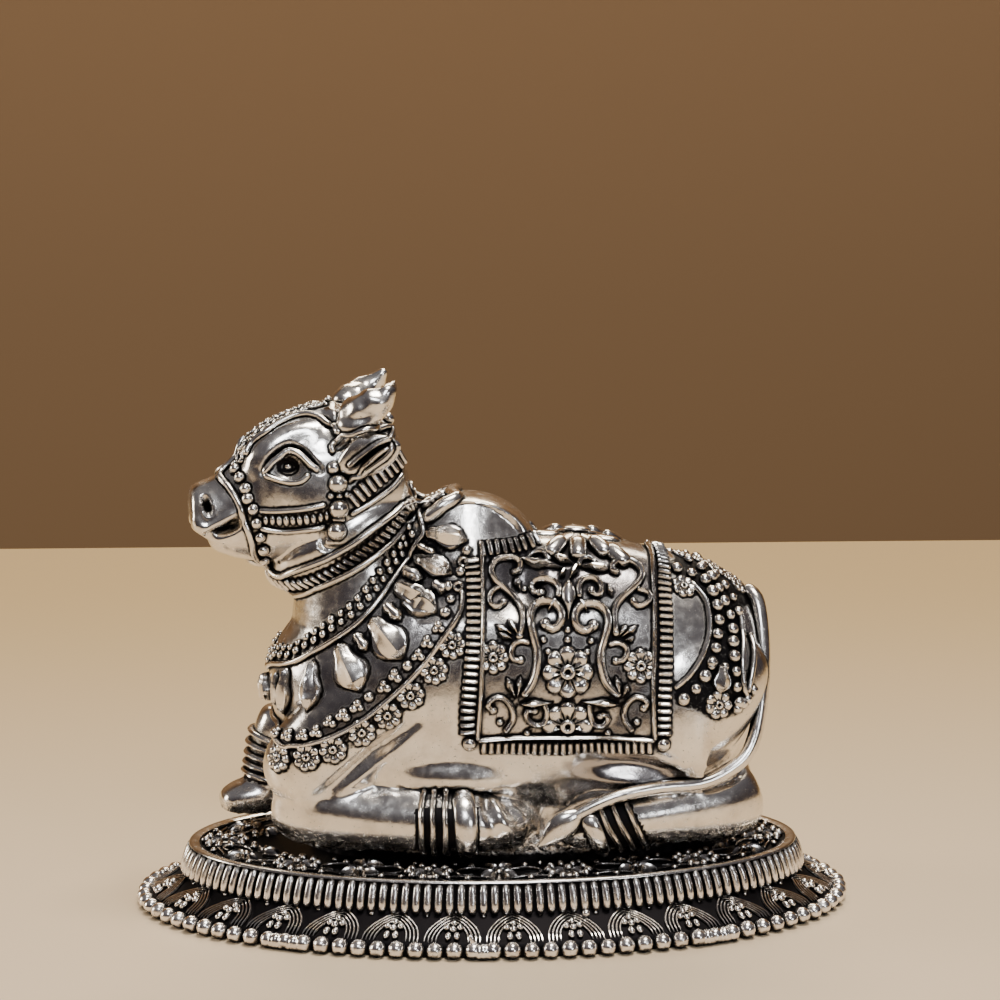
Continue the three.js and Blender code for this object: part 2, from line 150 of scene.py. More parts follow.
def smooth(points, share, closed=False):
    """The point at a share of the way along a smooth line through the points"""
    count = len(points) if closed else len(points) - 1
    spot = within(share) * count
    i = min(int(spot), count - 1)
    t = spot - i
    if closed:
        a, b, c, d = (points[(i + n) % count] for n in (-1, 0, 1, 2))
    else:
        b, c = points[i], points[i + 1]
        a = points[i - 1] if i > 0 else b * 2 - c
        d = points[i + 2] if i + 2 <= count else c * 2 - b
    bend = (a * 2 - b * 5 + c * 4 - d) * t * t + (b * 3 - a - c * 3 + d) * t ** 3
    return (b * 2 + (c - a) * t + bend) * 0.5


class Route:
    """A smooth line that is walked by its length"""

    def __init__(self, points, closed=False, fine=10):
        self.points = [Vector(point) for point in points]
        self.closed = closed
        self.steps = fine * len(self.points)
        spots = [smooth(self.points, i / self.steps, closed) for i in range(self.steps + 1)]
        self.travelled = [0.0]
        for one, two in zip(spots, spots[1:]):
            self.travelled.append(self.travelled[-1] + (two - one).length)
        self.length = self.travelled[-1]

    def at(self, share):
        """The point at a share of the line's length"""
        wanted = within(share) * self.length
        i = within(bisect.bisect_left(self.travelled, wanted), 1, self.steps)
        low, high = self.travelled[i - 1], self.travelled[i]
        part = (wanted - low) / max(high - low, 1e-9)
        return smooth(self.points, (i - 1 + part) / self.steps, self.closed)


# %% [markdown]
# ## Sweeps and stamps
# Almost every ornament on the casting is one of two things: a line with a section, such as a cord, a
# scroll, a leaf or a petal, or a small shape that is repeated, such as a bead. A sweep rolls a grid
# round a line. A stamp copies a pattern to a place. Both give closed shells that sink a
# little into the skin below them, as cast relief does.

# %% Sweeps
SINK = 0.25


def add_part(piece, part):
    """Puts a finished part into a piece's mesh"""
    mesh = bpy.data.meshes.new("part")
    part.to_mesh(mesh)
    part.free()
    piece.from_mesh(mesh)
    bpy.data.meshes.remove(mesh)


def sweep(piece, spots, section, sides=8, closed=False):
    """Rolls a grid round the spots, each a point and its outward direction.

    section gives [across, out] for a share of the way and an angle round the line."""
    steps = len(spots) - 1
    part = bmesh.new()
    bmesh.ops.create_grid(part, x_segments=steps, y_segments=sides, size=1)
    frames = []
    for i, (point, out) in enumerate(spots):
        before = spots[i - 1][0] if i > 0 else spots[-2 if closed else 0][0]
        after = spots[i + 1][0] if i < steps else spots[1 if closed else -1][0]
        ahead = (after - before).normalized()
        out = (out - ahead * out.dot(ahead)).normalized()
        frames.append((point, ahead.cross(out), out))
    for vert in part.verts:
        i = round((vert.co.x + 1) / 2 * steps)
        angle = round((vert.co.y + 1) / 2 * sides) * 2 * math.pi / sides
        point, across, out = frames[i]
        wide, high = section(i / steps, angle)
        vert.co = point + across * wide + out * high
    bmesh.ops.remove_doubles(part, verts=part.verts, dist=1e-4)
    bmesh.ops.recalc_face_normals(part, faces=part.faces)
    add_part(piece, part)


def round_shares(length, radius, step):
    """Shares of a line's length that crowd together at its two round ends"""
    cap = min(0.45, radius / length)
    middle = max(1, round((1 - 2 * cap) * length / step))
    ends = [cap * (1 - math.cos(angle)) for angle in (0, 0.55, 1.1)]
    body = [cap + (1 - 2 * cap) * i / middle for i in range(middle + 1)]
    return ends + body + [1 - end for end in reversed(ends)], cap


def share_at(shares, step_share):
    """The uneven share that belongs to an even step of a sweep"""
    return shares[round(step_share * (len(shares) - 1))]


def swell(share, cap):
    """How full a round-ended line is at a share of its length"""
    near = min(share, 1 - share) / cap
    return math.sqrt(max(0.0, 1 - (1 - near) ** 2)) if near < 1 else 1.0


def bar_section(shares, cap, wide, high, taper=None):
    """A round bar: half width and height, with round ends and an optional taper"""
    def section(step_share, angle):
        share = share_at(shares, step_share)
        full = swell(share, cap) * (taper(share) if taper else 1)
        return wide * full * math.cos(angle), high * full * math.sin(angle)
    return section


def even_section(wide, high):
    """A round section of one half width and height all the way"""
    return lambda _, angle: (wide * math.cos(angle), high * math.sin(angle))


def mark_shade_and_oxide(piece, trees, full, end):
    """Marks how near each point of a piece is to other pieces: 1 within full, 0 from end onwards. The
    finish blackens by it, as oxide and as painted shade.
    """
    shade_and_oxide = piece.verts.layers.float.get("shade_and_oxide") or piece.verts.layers.float.new("shade_and_oxide")
    for vert in piece.verts:
        found = [tree.find_nearest(vert.co, end)[3] for tree in trees]
        near = min((away for away in found if away is not None), default=end)
        vert[shade_and_oxide] = part_way(near, end, full)


# %% Patterns for stamps
def kept(part, name):
    """Keeps a part as a pattern that stamps can copy"""
    mesh = bpy.data.meshes.new(name)
    part.to_mesh(mesh)
    part.free()
    return mesh


def ball(sides=12, rings=8, blunt=2.0):
    """A ball of radius 1. A higher blunt makes it squarer along X."""
    part = bmesh.new()
    turn = Matrix.Rotation(math.pi / 2, 4, "Y")
    bmesh.ops.create_uvsphere(part, u_segments=sides, v_segments=rings, radius=1, matrix=turn)
    for vert in part.verts:
        full = (1 - abs(vert.co.x) ** blunt) ** (1 / blunt) if abs(vert.co.x) < 1 else 0.0
        flat = math.hypot(vert.co.y, vert.co.z)
        if flat > 1e-6:
            vert.co.y *= full / flat
            vert.co.z *= full / flat
    return part


PEARL = kept(ball(14, 10), "pearl")
SEED = kept(ball(8, 6), "seed")
BAR = kept(ball(8, 8, blunt=5.0), "bar")


def basis(place, ahead, out, size):
    """The matrix that puts a pattern at a place: X ahead, Z outwards"""
    out = out.normalized()
    ahead = (ahead - out * ahead.dot(out)).normalized()
    across = out.cross(ahead)
    columns = (ahead * size[0], across * size[1], out * size[2], place)
    return Matrix([[*(column[row] for column in columns)] for row in range(3)] + [[0, 0, 0, 1]])


def stamp(piece, pattern, place):
    """Copies a pattern into a piece"""
    copy = pattern.copy()
    copy.transform(place)
    piece.from_mesh(copy)
    bpy.data.meshes.remove(copy)


def level(angle):
    """The level direction at an angle from the tailward one"""
    return Vector((math.cos(angle), math.sin(angle), 0))


PETAL_SHARES = [0, 0.1, 0.25, 0.42, 0.58, 0.72, 0.84, 0.93, 0.98, 1]
PETAL_ROOT = 0.22
PETAL_SHOULDER = 0.62
PETAL_SPLIT_END = 0.72
HUB_STEPS = 14


def petal_flower(petals, groove, hub, left_out=()):
    """A flower of radius 1 lying in the XY plane, with domed petals that are split near the hub"""
    flower = bmesh.new()
    half = 0.97 * math.pi / petals

    def section(step_share, angle):
        share = share_at(PETAL_SHARES, step_share)
        tip = math.sqrt(1 - part_way(share, PETAL_SHOULDER, 1) ** 2)
        wide = half * (0.35 + 0.65 * min(1, share / PETAL_SHOULDER)) * 0.92 * tip
        side = math.cos(angle)
        split = groove * math.exp(-(side / 0.3) ** 2) * max(0.0, 1 - (share / PETAL_SPLIT_END) ** 2)
        if math.sin(angle) < -0.01:
            return wide * side, -0.1
        return wide * side, 0.12 + (0.34 * math.sin(angle) - split) * (0.5 + 0.5 * tip) * (tip > 0)

    for i in set(range(petals)) - set(left_out):
        ahead = level(2 * math.pi * i / petals)
        spots = [(ahead * (PETAL_ROOT + (1 - PETAL_ROOT) * share), UP) for share in PETAL_SHARES]
        sweep(flower, spots, section, sides=12)
    turns = [2 * math.pi * i / HUB_STEPS for i in range(HUB_STEPS + 1)]
    spots = [(level(turn) * hub * 0.75 + UP * 0.34, UP) for turn in turns]
    thick = hub * 0.4
    sweep(flower, spots, even_section(thick, thick * 1.2), closed=True)
    stamp(flower, SEED, Matrix.Translation((0, 0, 0.05)) @ Matrix.Diagonal((hub, hub, 0.16, 1)))
    return flower


FLOWER = kept(petal_flower(8, groove=0.24, hub=0.27), "flower")
CUT_FLOWER = kept(petal_flower(8, groove=0.24, hub=0.27, left_out=(3, 4, 5)), "cut flower")
SMALL_FLOWER = kept(petal_flower(7, groove=0.2, hub=0.28), "small flower")
print("a flower pattern has", len(FLOWER.polygons), "faces")


# %% [markdown]
# ## The finish
# After casting, the figure is blackened and then buffed. The cloth of the wheel reaches the crowns of
# the relief and the plain skin, and leaves the black in every hollow. The finish asks the
# same question as the wheel: how open is this spot? Ambient occlusion answers it, and a little noise
# keeps the edge of the black ragged. Plain spots mirror the room, with fine pits and stains.

# %% Nodes
def add_node(tree, kind, **settings):
    item = tree.nodes.new(kind)
    for name, value in settings.items():
        setattr(item, name, value)
    return item


def value_of(tree, socket, value):
    """Feeds a socket with another node's output, or with a plain value"""
    if isinstance(value, bpy.types.NodeSocket):
        tree.links.new(value, socket)
    else:
        socket.default_value = value


def arithmetic(tree, operation, one, two=0.0, clamp=False):
    item = add_node(tree, "ShaderNodeMath", operation=operation, use_clamp=clamp)
    value_of(tree, item.inputs[0], one)
    value_of(tree, item.inputs[1], two)
    return item.outputs[0]


def spread(tree, value, low, high, start=0.0, end=1.0):
    """Stretches a value between low and high to start and end, softly"""
    item = add_node(tree, "ShaderNodeMapRange", interpolation_type="SMOOTHSTEP")
    for socket, given in zip(item.inputs, (value, low, high, start, end)):
        value_of(tree, socket, given)
    return item.outputs[0]


def blended(tree, factor, one, two):
    """A colour between two, by a factor"""
    item = add_node(tree, "ShaderNodeMix", data_type="RGBA")
    value_of(tree, item.inputs[0], factor)
    value_of(tree, item.inputs[6], one)
    value_of(tree, item.inputs[7], two)
    return item.outputs[2]


def grain(tree, place, scale, detail=3.0, roughness=0.6):
    """Noise of a number of features a metre, on the piece's own place"""
    item = add_node(tree, "ShaderNodeTexNoise")
    value_of(tree, item.inputs["Vector"], place)
    item.inputs["Scale"].default_value = scale
    item.inputs["Detail"].default_value = detail
    item.inputs["Roughness"].default_value = roughness
    return item.outputs["Fac"]


def marked(tree, name):
    """A mark that the mesh carries on its points"""
    return add_node(tree, "ShaderNodeAttribute", attribute_name=name).outputs["Fac"]


# %% The blackened silver
HOLLOW_REACH = 0.0016
BLACK = (0.011, 0.010, 0.011, 1)
BLACK_ROUGHNESS = 0.55
EDGE_GRAIN = 1900.0  # features a metre, as in the next six lines
PIT_GRAIN = 2600.0
CAST_GRAIN = 1300.0
STAIN_GRAIN = 240.0
WEAR_GRAIN = 700.0
FINE_BUMP_GRAIN = 1500.0
COARSE_BUMP_GRAIN = 330.0


def blackened_silver(name, bright, stained, ground_and_shade, polish, open_low, open_high):
    """A silver that is black where it is less open than open_low, and bright from open_high"""
    material = bpy.data.materials.new(name)
    material.use_nodes = True
    tree = material.node_tree
    shader = tree.nodes["Principled BSDF"]
    place = add_node(tree, "ShaderNodeTexCoord").outputs["Object"]
    hollow = add_node(tree, "ShaderNodeAmbientOcclusion", samples=12)
    hollow.inputs["Distance"].default_value = HOLLOW_REACH
    ragged = spread(tree, grain(tree, place, EDGE_GRAIN, detail=4.0), 0.3, 0.7, -0.1, 0.1)
    openness = arithmetic(tree, "ADD", hollow.outputs["AO"], ragged)
    black = arithmetic(tree, "SUBTRACT", 1.0, spread(tree, openness, open_low, open_high))
    pits = spread(tree, grain(tree, place, PIT_GRAIN, detail=2.0), 0.66, 0.72)
    rough_cast = marked(tree, "pitted")
    cast_noise = spread(tree, grain(tree, place, CAST_GRAIN, detail=5.0, roughness=0.7), 0.49, 0.6)
    black = arithmetic(tree, "MAXIMUM", black, arithmetic(tree, "MULTIPLY", pits, 0.55))
    black = arithmetic(tree, "MAXIMUM", black, arithmetic(tree, "MULTIPLY", cast_noise, rough_cast))
    # This mark blackens the metal as oxide at the foot of ornament and in the base's ground, and as
    # painted shade there too, with a painted shadow low under the bull's legs
    shade_and_oxide_edge = arithmetic(tree, "ADD", marked(tree, "shade_and_oxide"), arithmetic(tree, "MULTIPLY", ragged, 1.6))
    black = arithmetic(tree, "MAXIMUM", black, spread(tree, shade_and_oxide_edge, 0.25, 0.85))
    dulled = spread(tree, grain(tree, place, STAIN_GRAIN, detail=3.0), 0.4, 0.75)
    metal = blended(tree, dulled, bright, stained)
    # This mark brings in the dark ground colour: the blackened ground between ornament, and painted shade
    # in two patches of the bull's skin
    metal = blended(tree, arithmetic(tree, "MULTIPLY", marked(tree, "ground_and_shade"), 0.9, True), metal, ground_and_shade)
    colour = blended(tree, black, metal, BLACK)
    tree.links.new(colour, shader.inputs["Base Color"])
    shader.inputs["Metallic"].default_value = 1.0
    worn = spread(tree, grain(tree, place, WEAR_GRAIN, detail=4.0), 0.3, 0.75, polish, polish + 0.14)
    tree.links.new(spread(tree, black, 0.1, 0.9, worn, BLACK_ROUGHNESS), shader.inputs["Roughness"])
    bump = add_node(tree, "ShaderNodeBump")
    bump.inputs["Strength"].default_value = 0.28
    bump.inputs["Distance"].default_value = 0.00012
    fine = arithmetic(tree, "MULTIPLY", grain(tree, place, FINE_BUMP_GRAIN, detail=3.0), 0.5)
    coarse = grain(tree, place, COARSE_BUMP_GRAIN, detail=2.0)
    rough_bump = arithmetic(tree, "MULTIPLY", cast_noise, arithmetic(tree, "MULTIPLY", rough_cast, -9.0))
    height = arithmetic(tree, "ADD", arithmetic(tree, "ADD", fine, coarse), rough_bump)
    tree.links.new(height, bump.inputs["Height"])
    tree.links.new(bump.outputs["Normal"], shader.inputs["Normal"])
    return material


bull_silver = blackened_silver(
    "bull_silver", bright=(0.88, 0.85, 0.81, 1), stained=(0.69, 0.65, 0.61, 1),
    ground_and_shade=(0.30, 0.28, 0.29, 1), polish=0.15, open_low=0.5, open_high=0.86,
)
base_silver = blackened_silver(
    "base_silver", bright=(0.96, 0.92, 0.88, 1), stained=(0.80, 0.74, 0.69, 1),
    ground_and_shade=(0.022, 0.018, 0.017, 1), polish=0.16, open_low=0.38, open_high=0.68,
)

# %% Handing a piece over
SHARP_EDGE = math.radians(55)


def cast(piece, name, node, material):
    """Brings a piece to metres, hangs it on the root body, and hides the CAD node that it stands for"""
    bmesh.ops.scale(piece, vec=(METRE, METRE, METRE), verts=piece.verts)
    mesh = bpy.data.meshes.new(name)
    piece.to_mesh(mesh)
    piece.free()
    mesh.shade_smooth()
    mesh.set_sharp_from_angle(angle=SHARP_EDGE)
    mesh.materials.append(material)
    item = bpy.data.objects.new(name, mesh)
    bpy.context.scene.collection.objects.link(item)
    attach(item, "root")
    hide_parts(node)
    triangles = sum(len(face.vertices) - 2 for face in mesh.polygons)
    print(f"{name}: {triangles} triangles")
    return item


def cast_base(piece, name):
    return cast(piece, name, "oval_base", base_silver)


def cast_bull(piece, name):
    return cast(piece, name, "bull_figure", bull_silver)


# %% [markdown]
# ## The base's ovals
# The base is a stack of ovals that stand the same distance apart all round. Each place on it is a share
# of the way round, an inset from the outermost line and a height. A turned profile is spun as
# a circle and then drawn out to the oval, so that spin does the work and the oval only moves it.

# %% Ovals
BASE_LENGTH = 109.4
BASE_DEPTH = 65.0
PLATE_HEIGHT = 9.2
LIP_HEIGHT = 9.7
LIP_WIDTH = 2.7
BAND_INSET = 7.0
BAND_FOOT = 5.0
BEAD_COUNT = 96
BEAD_RADIUS = 1.35
SKIRT_INSET = 2.5
SKIRT_FOOT = 2.3
FLUTE_DEPTH = 1.0
LIP_EDGE = 9.25
OVAL_STRETCH = (BASE_LENGTH - BASE_DEPTH) / 2
OVAL_STEPS = 2880
oval_travelled = [0.0]
for i in range(OVAL_STEPS):
    turn_a, turn_b = 2 * math.pi * i / OVAL_STEPS, 2 * math.pi * (i + 1) / OVAL_STEPS
    step_x = (BASE_LENGTH / 2 - BEAD_RADIUS) * (math.cos(turn_b) - math.cos(turn_a))
    step_y = (BASE_DEPTH / 2 - BEAD_RADIUS) * (math.sin(turn_b) - math.sin(turn_a))
    oval_travelled.append(oval_travelled[-1] + math.hypot(step_x, step_y))


def oval_angle(share):
    """The angle at a share of the way round, counted along the row of beads"""
    wanted = oval_travelled[-1] * (share % 1.0)
    i = within(bisect.bisect_left(oval_travelled, wanted), 1, OVAL_STEPS)
    part = (wanted - oval_travelled[i - 1]) / (oval_travelled[i] - oval_travelled[i - 1])
    return 2 * math.pi * (i - 1 + part) / OVAL_STEPS


def oval_place(share, inset, height):
    """The place at a share of the way round, at an inset from the outermost line and a height"""
    depth = BASE_DEPTH / 2 - inset
    angle = oval_angle(share)
    return Vector(((depth + OVAL_STRETCH) * math.cos(angle), depth * math.sin(angle), height))


def oval_out(share, inset=0.0):
    """The level direction that faces away from the base"""
    step = 1e-3
    along = oval_place(share + step, inset, 0) - oval_place(share - step, inset, 0)
    return Vector((along.y, -along.x, 0)).normalized()


def oval_turning(profile, steps):
    """Spins a profile of [inset, height] and draws the round out to the oval"""
    part = bmesh.new()
    verts = [part.verts.new((BASE_DEPTH / 2 - inset, 0, height)) for inset, height in profile]
    edges = [part.edges.new(pair) for pair in zip(verts, verts[1:])]
    bmesh.ops.spin(
        part, geom=verts + edges, cent=(0, 0, 0), axis=(0, 0, 1), dvec=(0, 0, 0),
        angle=2 * math.pi, steps=steps, use_merge=True,
    )
    bmesh.ops.remove_doubles(part, verts=part.verts, dist=1e-4)
    for vert in part.verts:
        radius = math.hypot(vert.co.x, vert.co.y)
        if radius > 1e-3:
            angle = oval_angle(math.atan2(vert.co.y, vert.co.x) / (2 * math.pi))
            vert.co.x = (radius + OVAL_STRETCH) * math.cos(angle)
            vert.co.y = radius * math.sin(angle)
    bmesh.ops.recalc_face_normals(part, faces=part.faces)
    return part


# %% [markdown]
# ## The base's body
# Under the ornament the base is one turned form: a foot that the beads stand on, a skirt that slopes in,
# an upright band, a lip, and a sunk plate. Its corners are rounded by a few more points in the
# profile, because a cast edge that has been polished is never sharp.

# %% The turned body
CENTRE = BASE_DEPTH / 2
BODY_PROFILE = [
    (CENTRE, 0.15), (2.1, 0.15), (1.95, 0.5), (1.95, 1.5), (2.15, 2.1), (SKIRT_INSET, SKIRT_FOOT),
    (BAND_INSET + FLUTE_DEPTH - 0.1, BAND_FOOT), (BAND_INSET + FLUTE_DEPTH, BAND_FOOT + 0.2),
    (BAND_INSET + 1.2, 7.5), (BAND_INSET + 1.6, 8.85), (BAND_INSET + 1.55, 9.1),
    (BAND_INSET + 1.3, LIP_EDGE), (BAND_INSET + 1.15, 9.38), (BAND_INSET + 1.2, 9.56),
    (BAND_INSET + 1.45, LIP_HEIGHT), (BAND_INSET + 2.0, LIP_HEIGHT + 0.02),
    (BAND_INSET + LIP_WIDTH - 0.35, LIP_HEIGHT - 0.06), (BAND_INSET + LIP_WIDTH, LIP_HEIGHT - 0.2),
    (BAND_INSET + LIP_WIDTH + 0.05, PLATE_HEIGHT - 0.15),
    (BAND_INSET + LIP_WIDTH + 1.6, PLATE_HEIGHT - 0.2), (CENTRE - 14, PLATE_HEIGHT - 0.15),
    (CENTRE, PLATE_HEIGHT - 0.15),
]
base_body = oval_turning(BODY_PROFILE, steps=288)
lip_mark = base_body.verts.layers.float.new("ground_and_shade")
shade_and_oxide_mark = base_body.verts.layers.float.new("shade_and_oxide")
for vert in base_body.verts:
    on_lip = vert.co.z > LIP_EDGE
    vert[lip_mark] = 0.3 if on_lip else 1.0
    vert[shade_and_oxide_mark] = 0.0 if on_lip else 1.0
base_tree = BVHTree.FromBMesh(base_body)
cast_base(base_body, "base_body")

# %% [markdown]
# ## The row of beads
# Ninety-six beads stand round the foot. On the real casting they aren't perfect: the lower half is ground
# off to a flat, their sizes differ a little, and in three places the metal ran and joined
# two or three of them. Seeded random numbers give the same small faults every time.

# %% Beads
JOINED_BEADS_PX = [(264, 303), (464, 497), (699, 728)]
JOINED_LUMPS = [(0.8, 0.84), (1.0, 0.9), (1.15, 0.88), (1.3, 0.76)]  # steps on from a bead, size
SPUR_X_PX = 473
STRAY_DOT_X_PX = 587
FOOT_SQUASH = 0.96
GRINDING = Vector((0.78, 0, -0.62))
chance = random.Random(7)
bead_row = bmesh.new()


def ground_bead(cut):
    """A bead of radius 1 with a flat ground on its lower outer side. X faces out."""
    part = ball(16, 12)
    for vert in part.verts:
        over = vert.co.dot(GRINDING) - cut
        if over > 0:
            vert.co -= GRINDING * over * 0.9
    return part


def near_place(pixel_x, inset, height):
    """The place on the near half of an oval that is seen this far across the picture"""
    near = [oval_place(0.5 + 0.5 * i / 400, inset, height) for i in range(401)]
    return min(near, key=lambda place: abs(pixel_of(place)[0] - pixel_x))


BEADS = [kept(ground_bead(cut), "bead") for cut in (0.8, 0.86, 0.93)]
bead_inset = BEAD_RADIUS
for i in range(BEAD_COUNT):
    share = (i + 0.5) / BEAD_COUNT
    radius = BEAD_RADIUS * chance.uniform(0.94, 1.0)
    place = oval_place(share, bead_inset + chance.uniform(0.0, 0.12), radius)
    out = oval_out(share, bead_inset)
    size = (radius, radius * FOOT_SQUASH, radius * 0.99)
    stamp(bead_row, chance.choice(BEADS), basis(place, out, UP, size))
for first, last in JOINED_BEADS_PX:
    for i in range(BEAD_COUNT):
        one, two = (oval_place((i + n) / BEAD_COUNT, bead_inset, BEAD_RADIUS) for n in (0.5, 1.5))
        if one.y < 0 and first < pixel_of((one + two) / 2)[0] < last:
            for n, size in JOINED_LUMPS:
                radius = BEAD_RADIUS * size
                middle = oval_place((i + n) / BEAD_COUNT, bead_inset, radius + 0.05)
                stamp(bead_row, PEARL, basis(middle, two - one, UP, (0.95, radius, radius)))
spur = near_place(SPUR_X_PX, bead_inset + 0.2, 2.7)
stamp(bead_row, SEED, basis(spur, Vector((-0.25, 0.4, 1)), Vector((0, -1, 0)), (1.2, 0.42, 0.42)))
stray = near_place(STRAY_DOT_X_PX, BAND_INSET - 0.7, BAND_FOOT)
stamp(bead_row, PEARL, basis(stray, TAILWARD, UP, (0.62, 0.62, 0.62)))
cast_base(bead_row, "base_beads")

# %% [markdown]
# ## The fluted band
# A hundred and forty-four short flutes stand round the upright band. Each is a round bar, rounded off
# at its foot, and it bends in at the top, where it runs into the lip. Every flute is a sweep of its own,
# because the oval bends more sharply at its two ends.

# %% Flutes
FLUTE_COUNT = 144
FLUTE_LINE = [
    (0.8, BAND_FOOT + 0.05), (0.42, 5.5), (0.52, 6.2), (0.7, 6.9), (0.93, 7.6), (1.22, 8.3),
    (1.58, 8.9), (2.1, 9.3),
]
FLUTE_HALF = 0.6
FLUTE_HIGH = 0.68
FLUTE_LEAN = 0.6
flutes = bmesh.new()
for i in range(FLUTE_COUNT):
    share = (i + 0.5) / FLUTE_COUNT
    out = oval_out(share, BAND_INSET)
    wobble = chance.uniform(-0.05, 0.05)
    line = Route([oval_place(share, BAND_INSET + inset, height + wobble) for inset, height in FLUTE_LINE])
    shares, cap = round_shares(line.length, FLUTE_HALF * 1.1, 0.8)
    spots = [(line.at(at), (out + UP * FLUTE_LEAN * at).normalized()) for at in shares]
    sweep(flutes, spots, bar_section(shares, cap, FLUTE_HALF, FLUTE_HIGH), sides=10)
mark_shade_and_oxide(flutes, [base_tree], full=0.1, end=0.45)
cast_base(flutes, "base_flutes")

# %% [markdown]
# ## The arches on the skirt
# Twenty-nine pointed arches stand on the skirt, just clear of each other. Each is four fine lines, one
# inside the other, round a small flower of beads with two drops below it. An arch is drawn flat, with
# u across and v up the slope, and a function lays it on the sloping skirt.

# %% Arches
ARCH_COUNT = 29
ARCH_SHIFT = 0.95
ARCH_HALF_WIDTH = 4.15
ARCH_HEIGHT = 6.0
ARCH_FOOT = -0.2
ARCH_LINES = 4
ARCH_GAP = 0.58
ARCH_BEADS = [  # u, v, half width, half height of each bead under an arch
    (0.0, 3.45, 0.5, 0.5), (-1.02, 2.55, 0.5, 0.5), (1.02, 2.6, 0.5, 0.5), (-0.05, 2.25, 0.55, 0.6),
    (-0.66, 0.8, 0.48, 0.72), (0.66, 0.83, 0.48, 0.7),
]
DOT = kept(ball(10, 8), "dot")
SKIRT_RUN = BAND_INSET + FLUTE_DEPTH - SKIRT_INSET
SKIRT_RISE = BAND_FOOT - SKIRT_FOOT
SKIRT_SLANT = math.hypot(SKIRT_RUN, SKIRT_RISE)
arch_pitch = oval_travelled[-1] / ARCH_COUNT


def on_skirt_at(middle, u, v):
    """The place and outward direction at u across and v up the skirt from an arch's middle"""
    part = v / SKIRT_SLANT
    inset = SKIRT_INSET + SKIRT_RUN * part
    share = middle + u / oval_travelled[-1]
    out = (oval_out(share, inset) * SKIRT_RISE + UP * SKIRT_RUN).normalized()
    return oval_place(share, inset, SKIRT_FOOT + SKIRT_RISE * part), out


def arch_section(share, angle):
    """A thin ridge that runs out at both ends of an arch's line"""
    full = min(1.0, 4 * (1 - share) + 0.4, 5 * share + 0.4)
    return 0.17 * full * math.cos(angle), 0.55 * full * max(math.sin(angle), -0.4)


arches = bmesh.new()
for i in range(ARCH_COUNT):
    middle = (i + ARCH_SHIFT) / ARCH_COUNT
    for k in range(ARCH_LINES):
        half = ARCH_HALF_WIDTH - ARCH_GAP * k
        tall = ARCH_HEIGHT - ARCH_GAP * 0.95 * k
        for way in (-1, 1):
            rises = [n / 9 for n in range(10)]
            flat = [(way * half * (1 - rise ** 2.3), ARCH_FOOT + tall * rise ** 0.95) for rise in rises]
            sweep(arches, [on_skirt_at(middle, u, v) for u, v in flat], arch_section, sides=6)
    for u, v, wide, tall in ARCH_BEADS:
        place, out = on_skirt_at(middle, u, v)
        up = on_skirt_at(middle, u, v + 0.1)[0] - place
        stamp(arches, DOT, basis(place + out * 0.4, up, out, (tall, wide, 0.55)))
    for u, v in ((arch_pitch / 2, ARCH_HEIGHT - 0.6), (0, ARCH_HEIGHT + 0.35)):
        place, out = on_skirt_at(middle, u, v + chance.uniform(-0.2, 0.1))
        radius = chance.uniform(0.2, 0.36)
        stamp(arches, SEED, basis(place + out * 0.1, UP, out, (radius, radius, radius)))
mark_shade_and_oxide(arches, [base_tree], full=0.1, end=0.3)
cast_base(arches, "base_arches")

# %% [markdown]
# ## The plate's garland
# Round the sunk plate, between the lip and the bull, lie ten domed rosettes with ball petals, and between
# them fans of veined leaves, thin tendrils and loose beads. Little of it catches light, so the
# work goes into the crowns that do: the balls, the leaf ridges and the beads.

# %% The plate's garland
GARLAND_DARK_BELOW = 9.5
GARLAND_BRIGHT_ABOVE = 9.85
ROSETTE_COUNT = 10
ROSETTE_RADIUS = 3.6
ROSETTE_INSET = BAND_INSET + LIP_WIDTH + ROSETTE_RADIUS + 0.4
ROSETTE_LEAVES = 8
ROSETTE_BALLS = 10
OUTER_FAN = range(-96, 97, 32)  # degrees of each leaf
INNER_FAN = range(-70, 71, 35)
LOOSE_BEADS = [  # step round, inset, radius
    (0.021, 0.55, 0.5), (0.034, 0.7, 0.42), (0.021, 6.8, 0.55), (0.034, 7.6, 0.45),
]
TENDRILS = [  # radius, then step round, inset and height above the plate of each point
    (0.22, [
        (0.006, 5.2, 0.1), (0.022, 5.6, 0.25), (0.031, 4.0, 0.2), (0.026, 2.4, 0.15), (0.018, 2.6, 0.1),
    ]),
    (0.2, [(0.008, 0.9, 0.1), (0.02, 1.5, 0.2), (0.036, 1.5, 0.1)]),
]


def level_turn(ahead, degrees):
    """A level direction, turned about the upright"""
    return Matrix.Rotation(math.radians(degrees), 3, "Z") @ ahead


def leaf_blade(piece, start, ahead, length, half, height, ribs=0.5):
    """A pointed leaf lying on a level ground, with a middle rib"""
    shares = [0, 0.06, 0.18, 0.34, 0.52, 0.7, 0.85, 0.95, 1.0]

    def section(step_share, angle):
        share = share_at(shares, step_share)
        wide = half * math.sin(math.pi * share ** 0.8) ** 0.8 if 0 < share < 1 else 0.0
        side = math.cos(angle)
        ridge = (1 - abs(side)) ** 0.8 * (1 - ribs) + ribs * math.exp(-(side / 0.25) ** 2)
        tall = height * ridge * min(1, wide / half + 0.1) if math.sin(angle) > 0 else -SINK
        return wide * side, tall

    sweep(piece, [(start + ahead * length * share, UP) for share in shares], section, sides=12)


def tendril(piece, points, radius):
    """A thin round line on the plate"""
    line = Route(points)
    shares, cap = round_shares(line.length, radius, 0.7)
    spots = [(line.at(at), UP) for at in shares]
    sweep(piece, spots, bar_section(shares, cap, radius, radius * 1.2), sides=6)


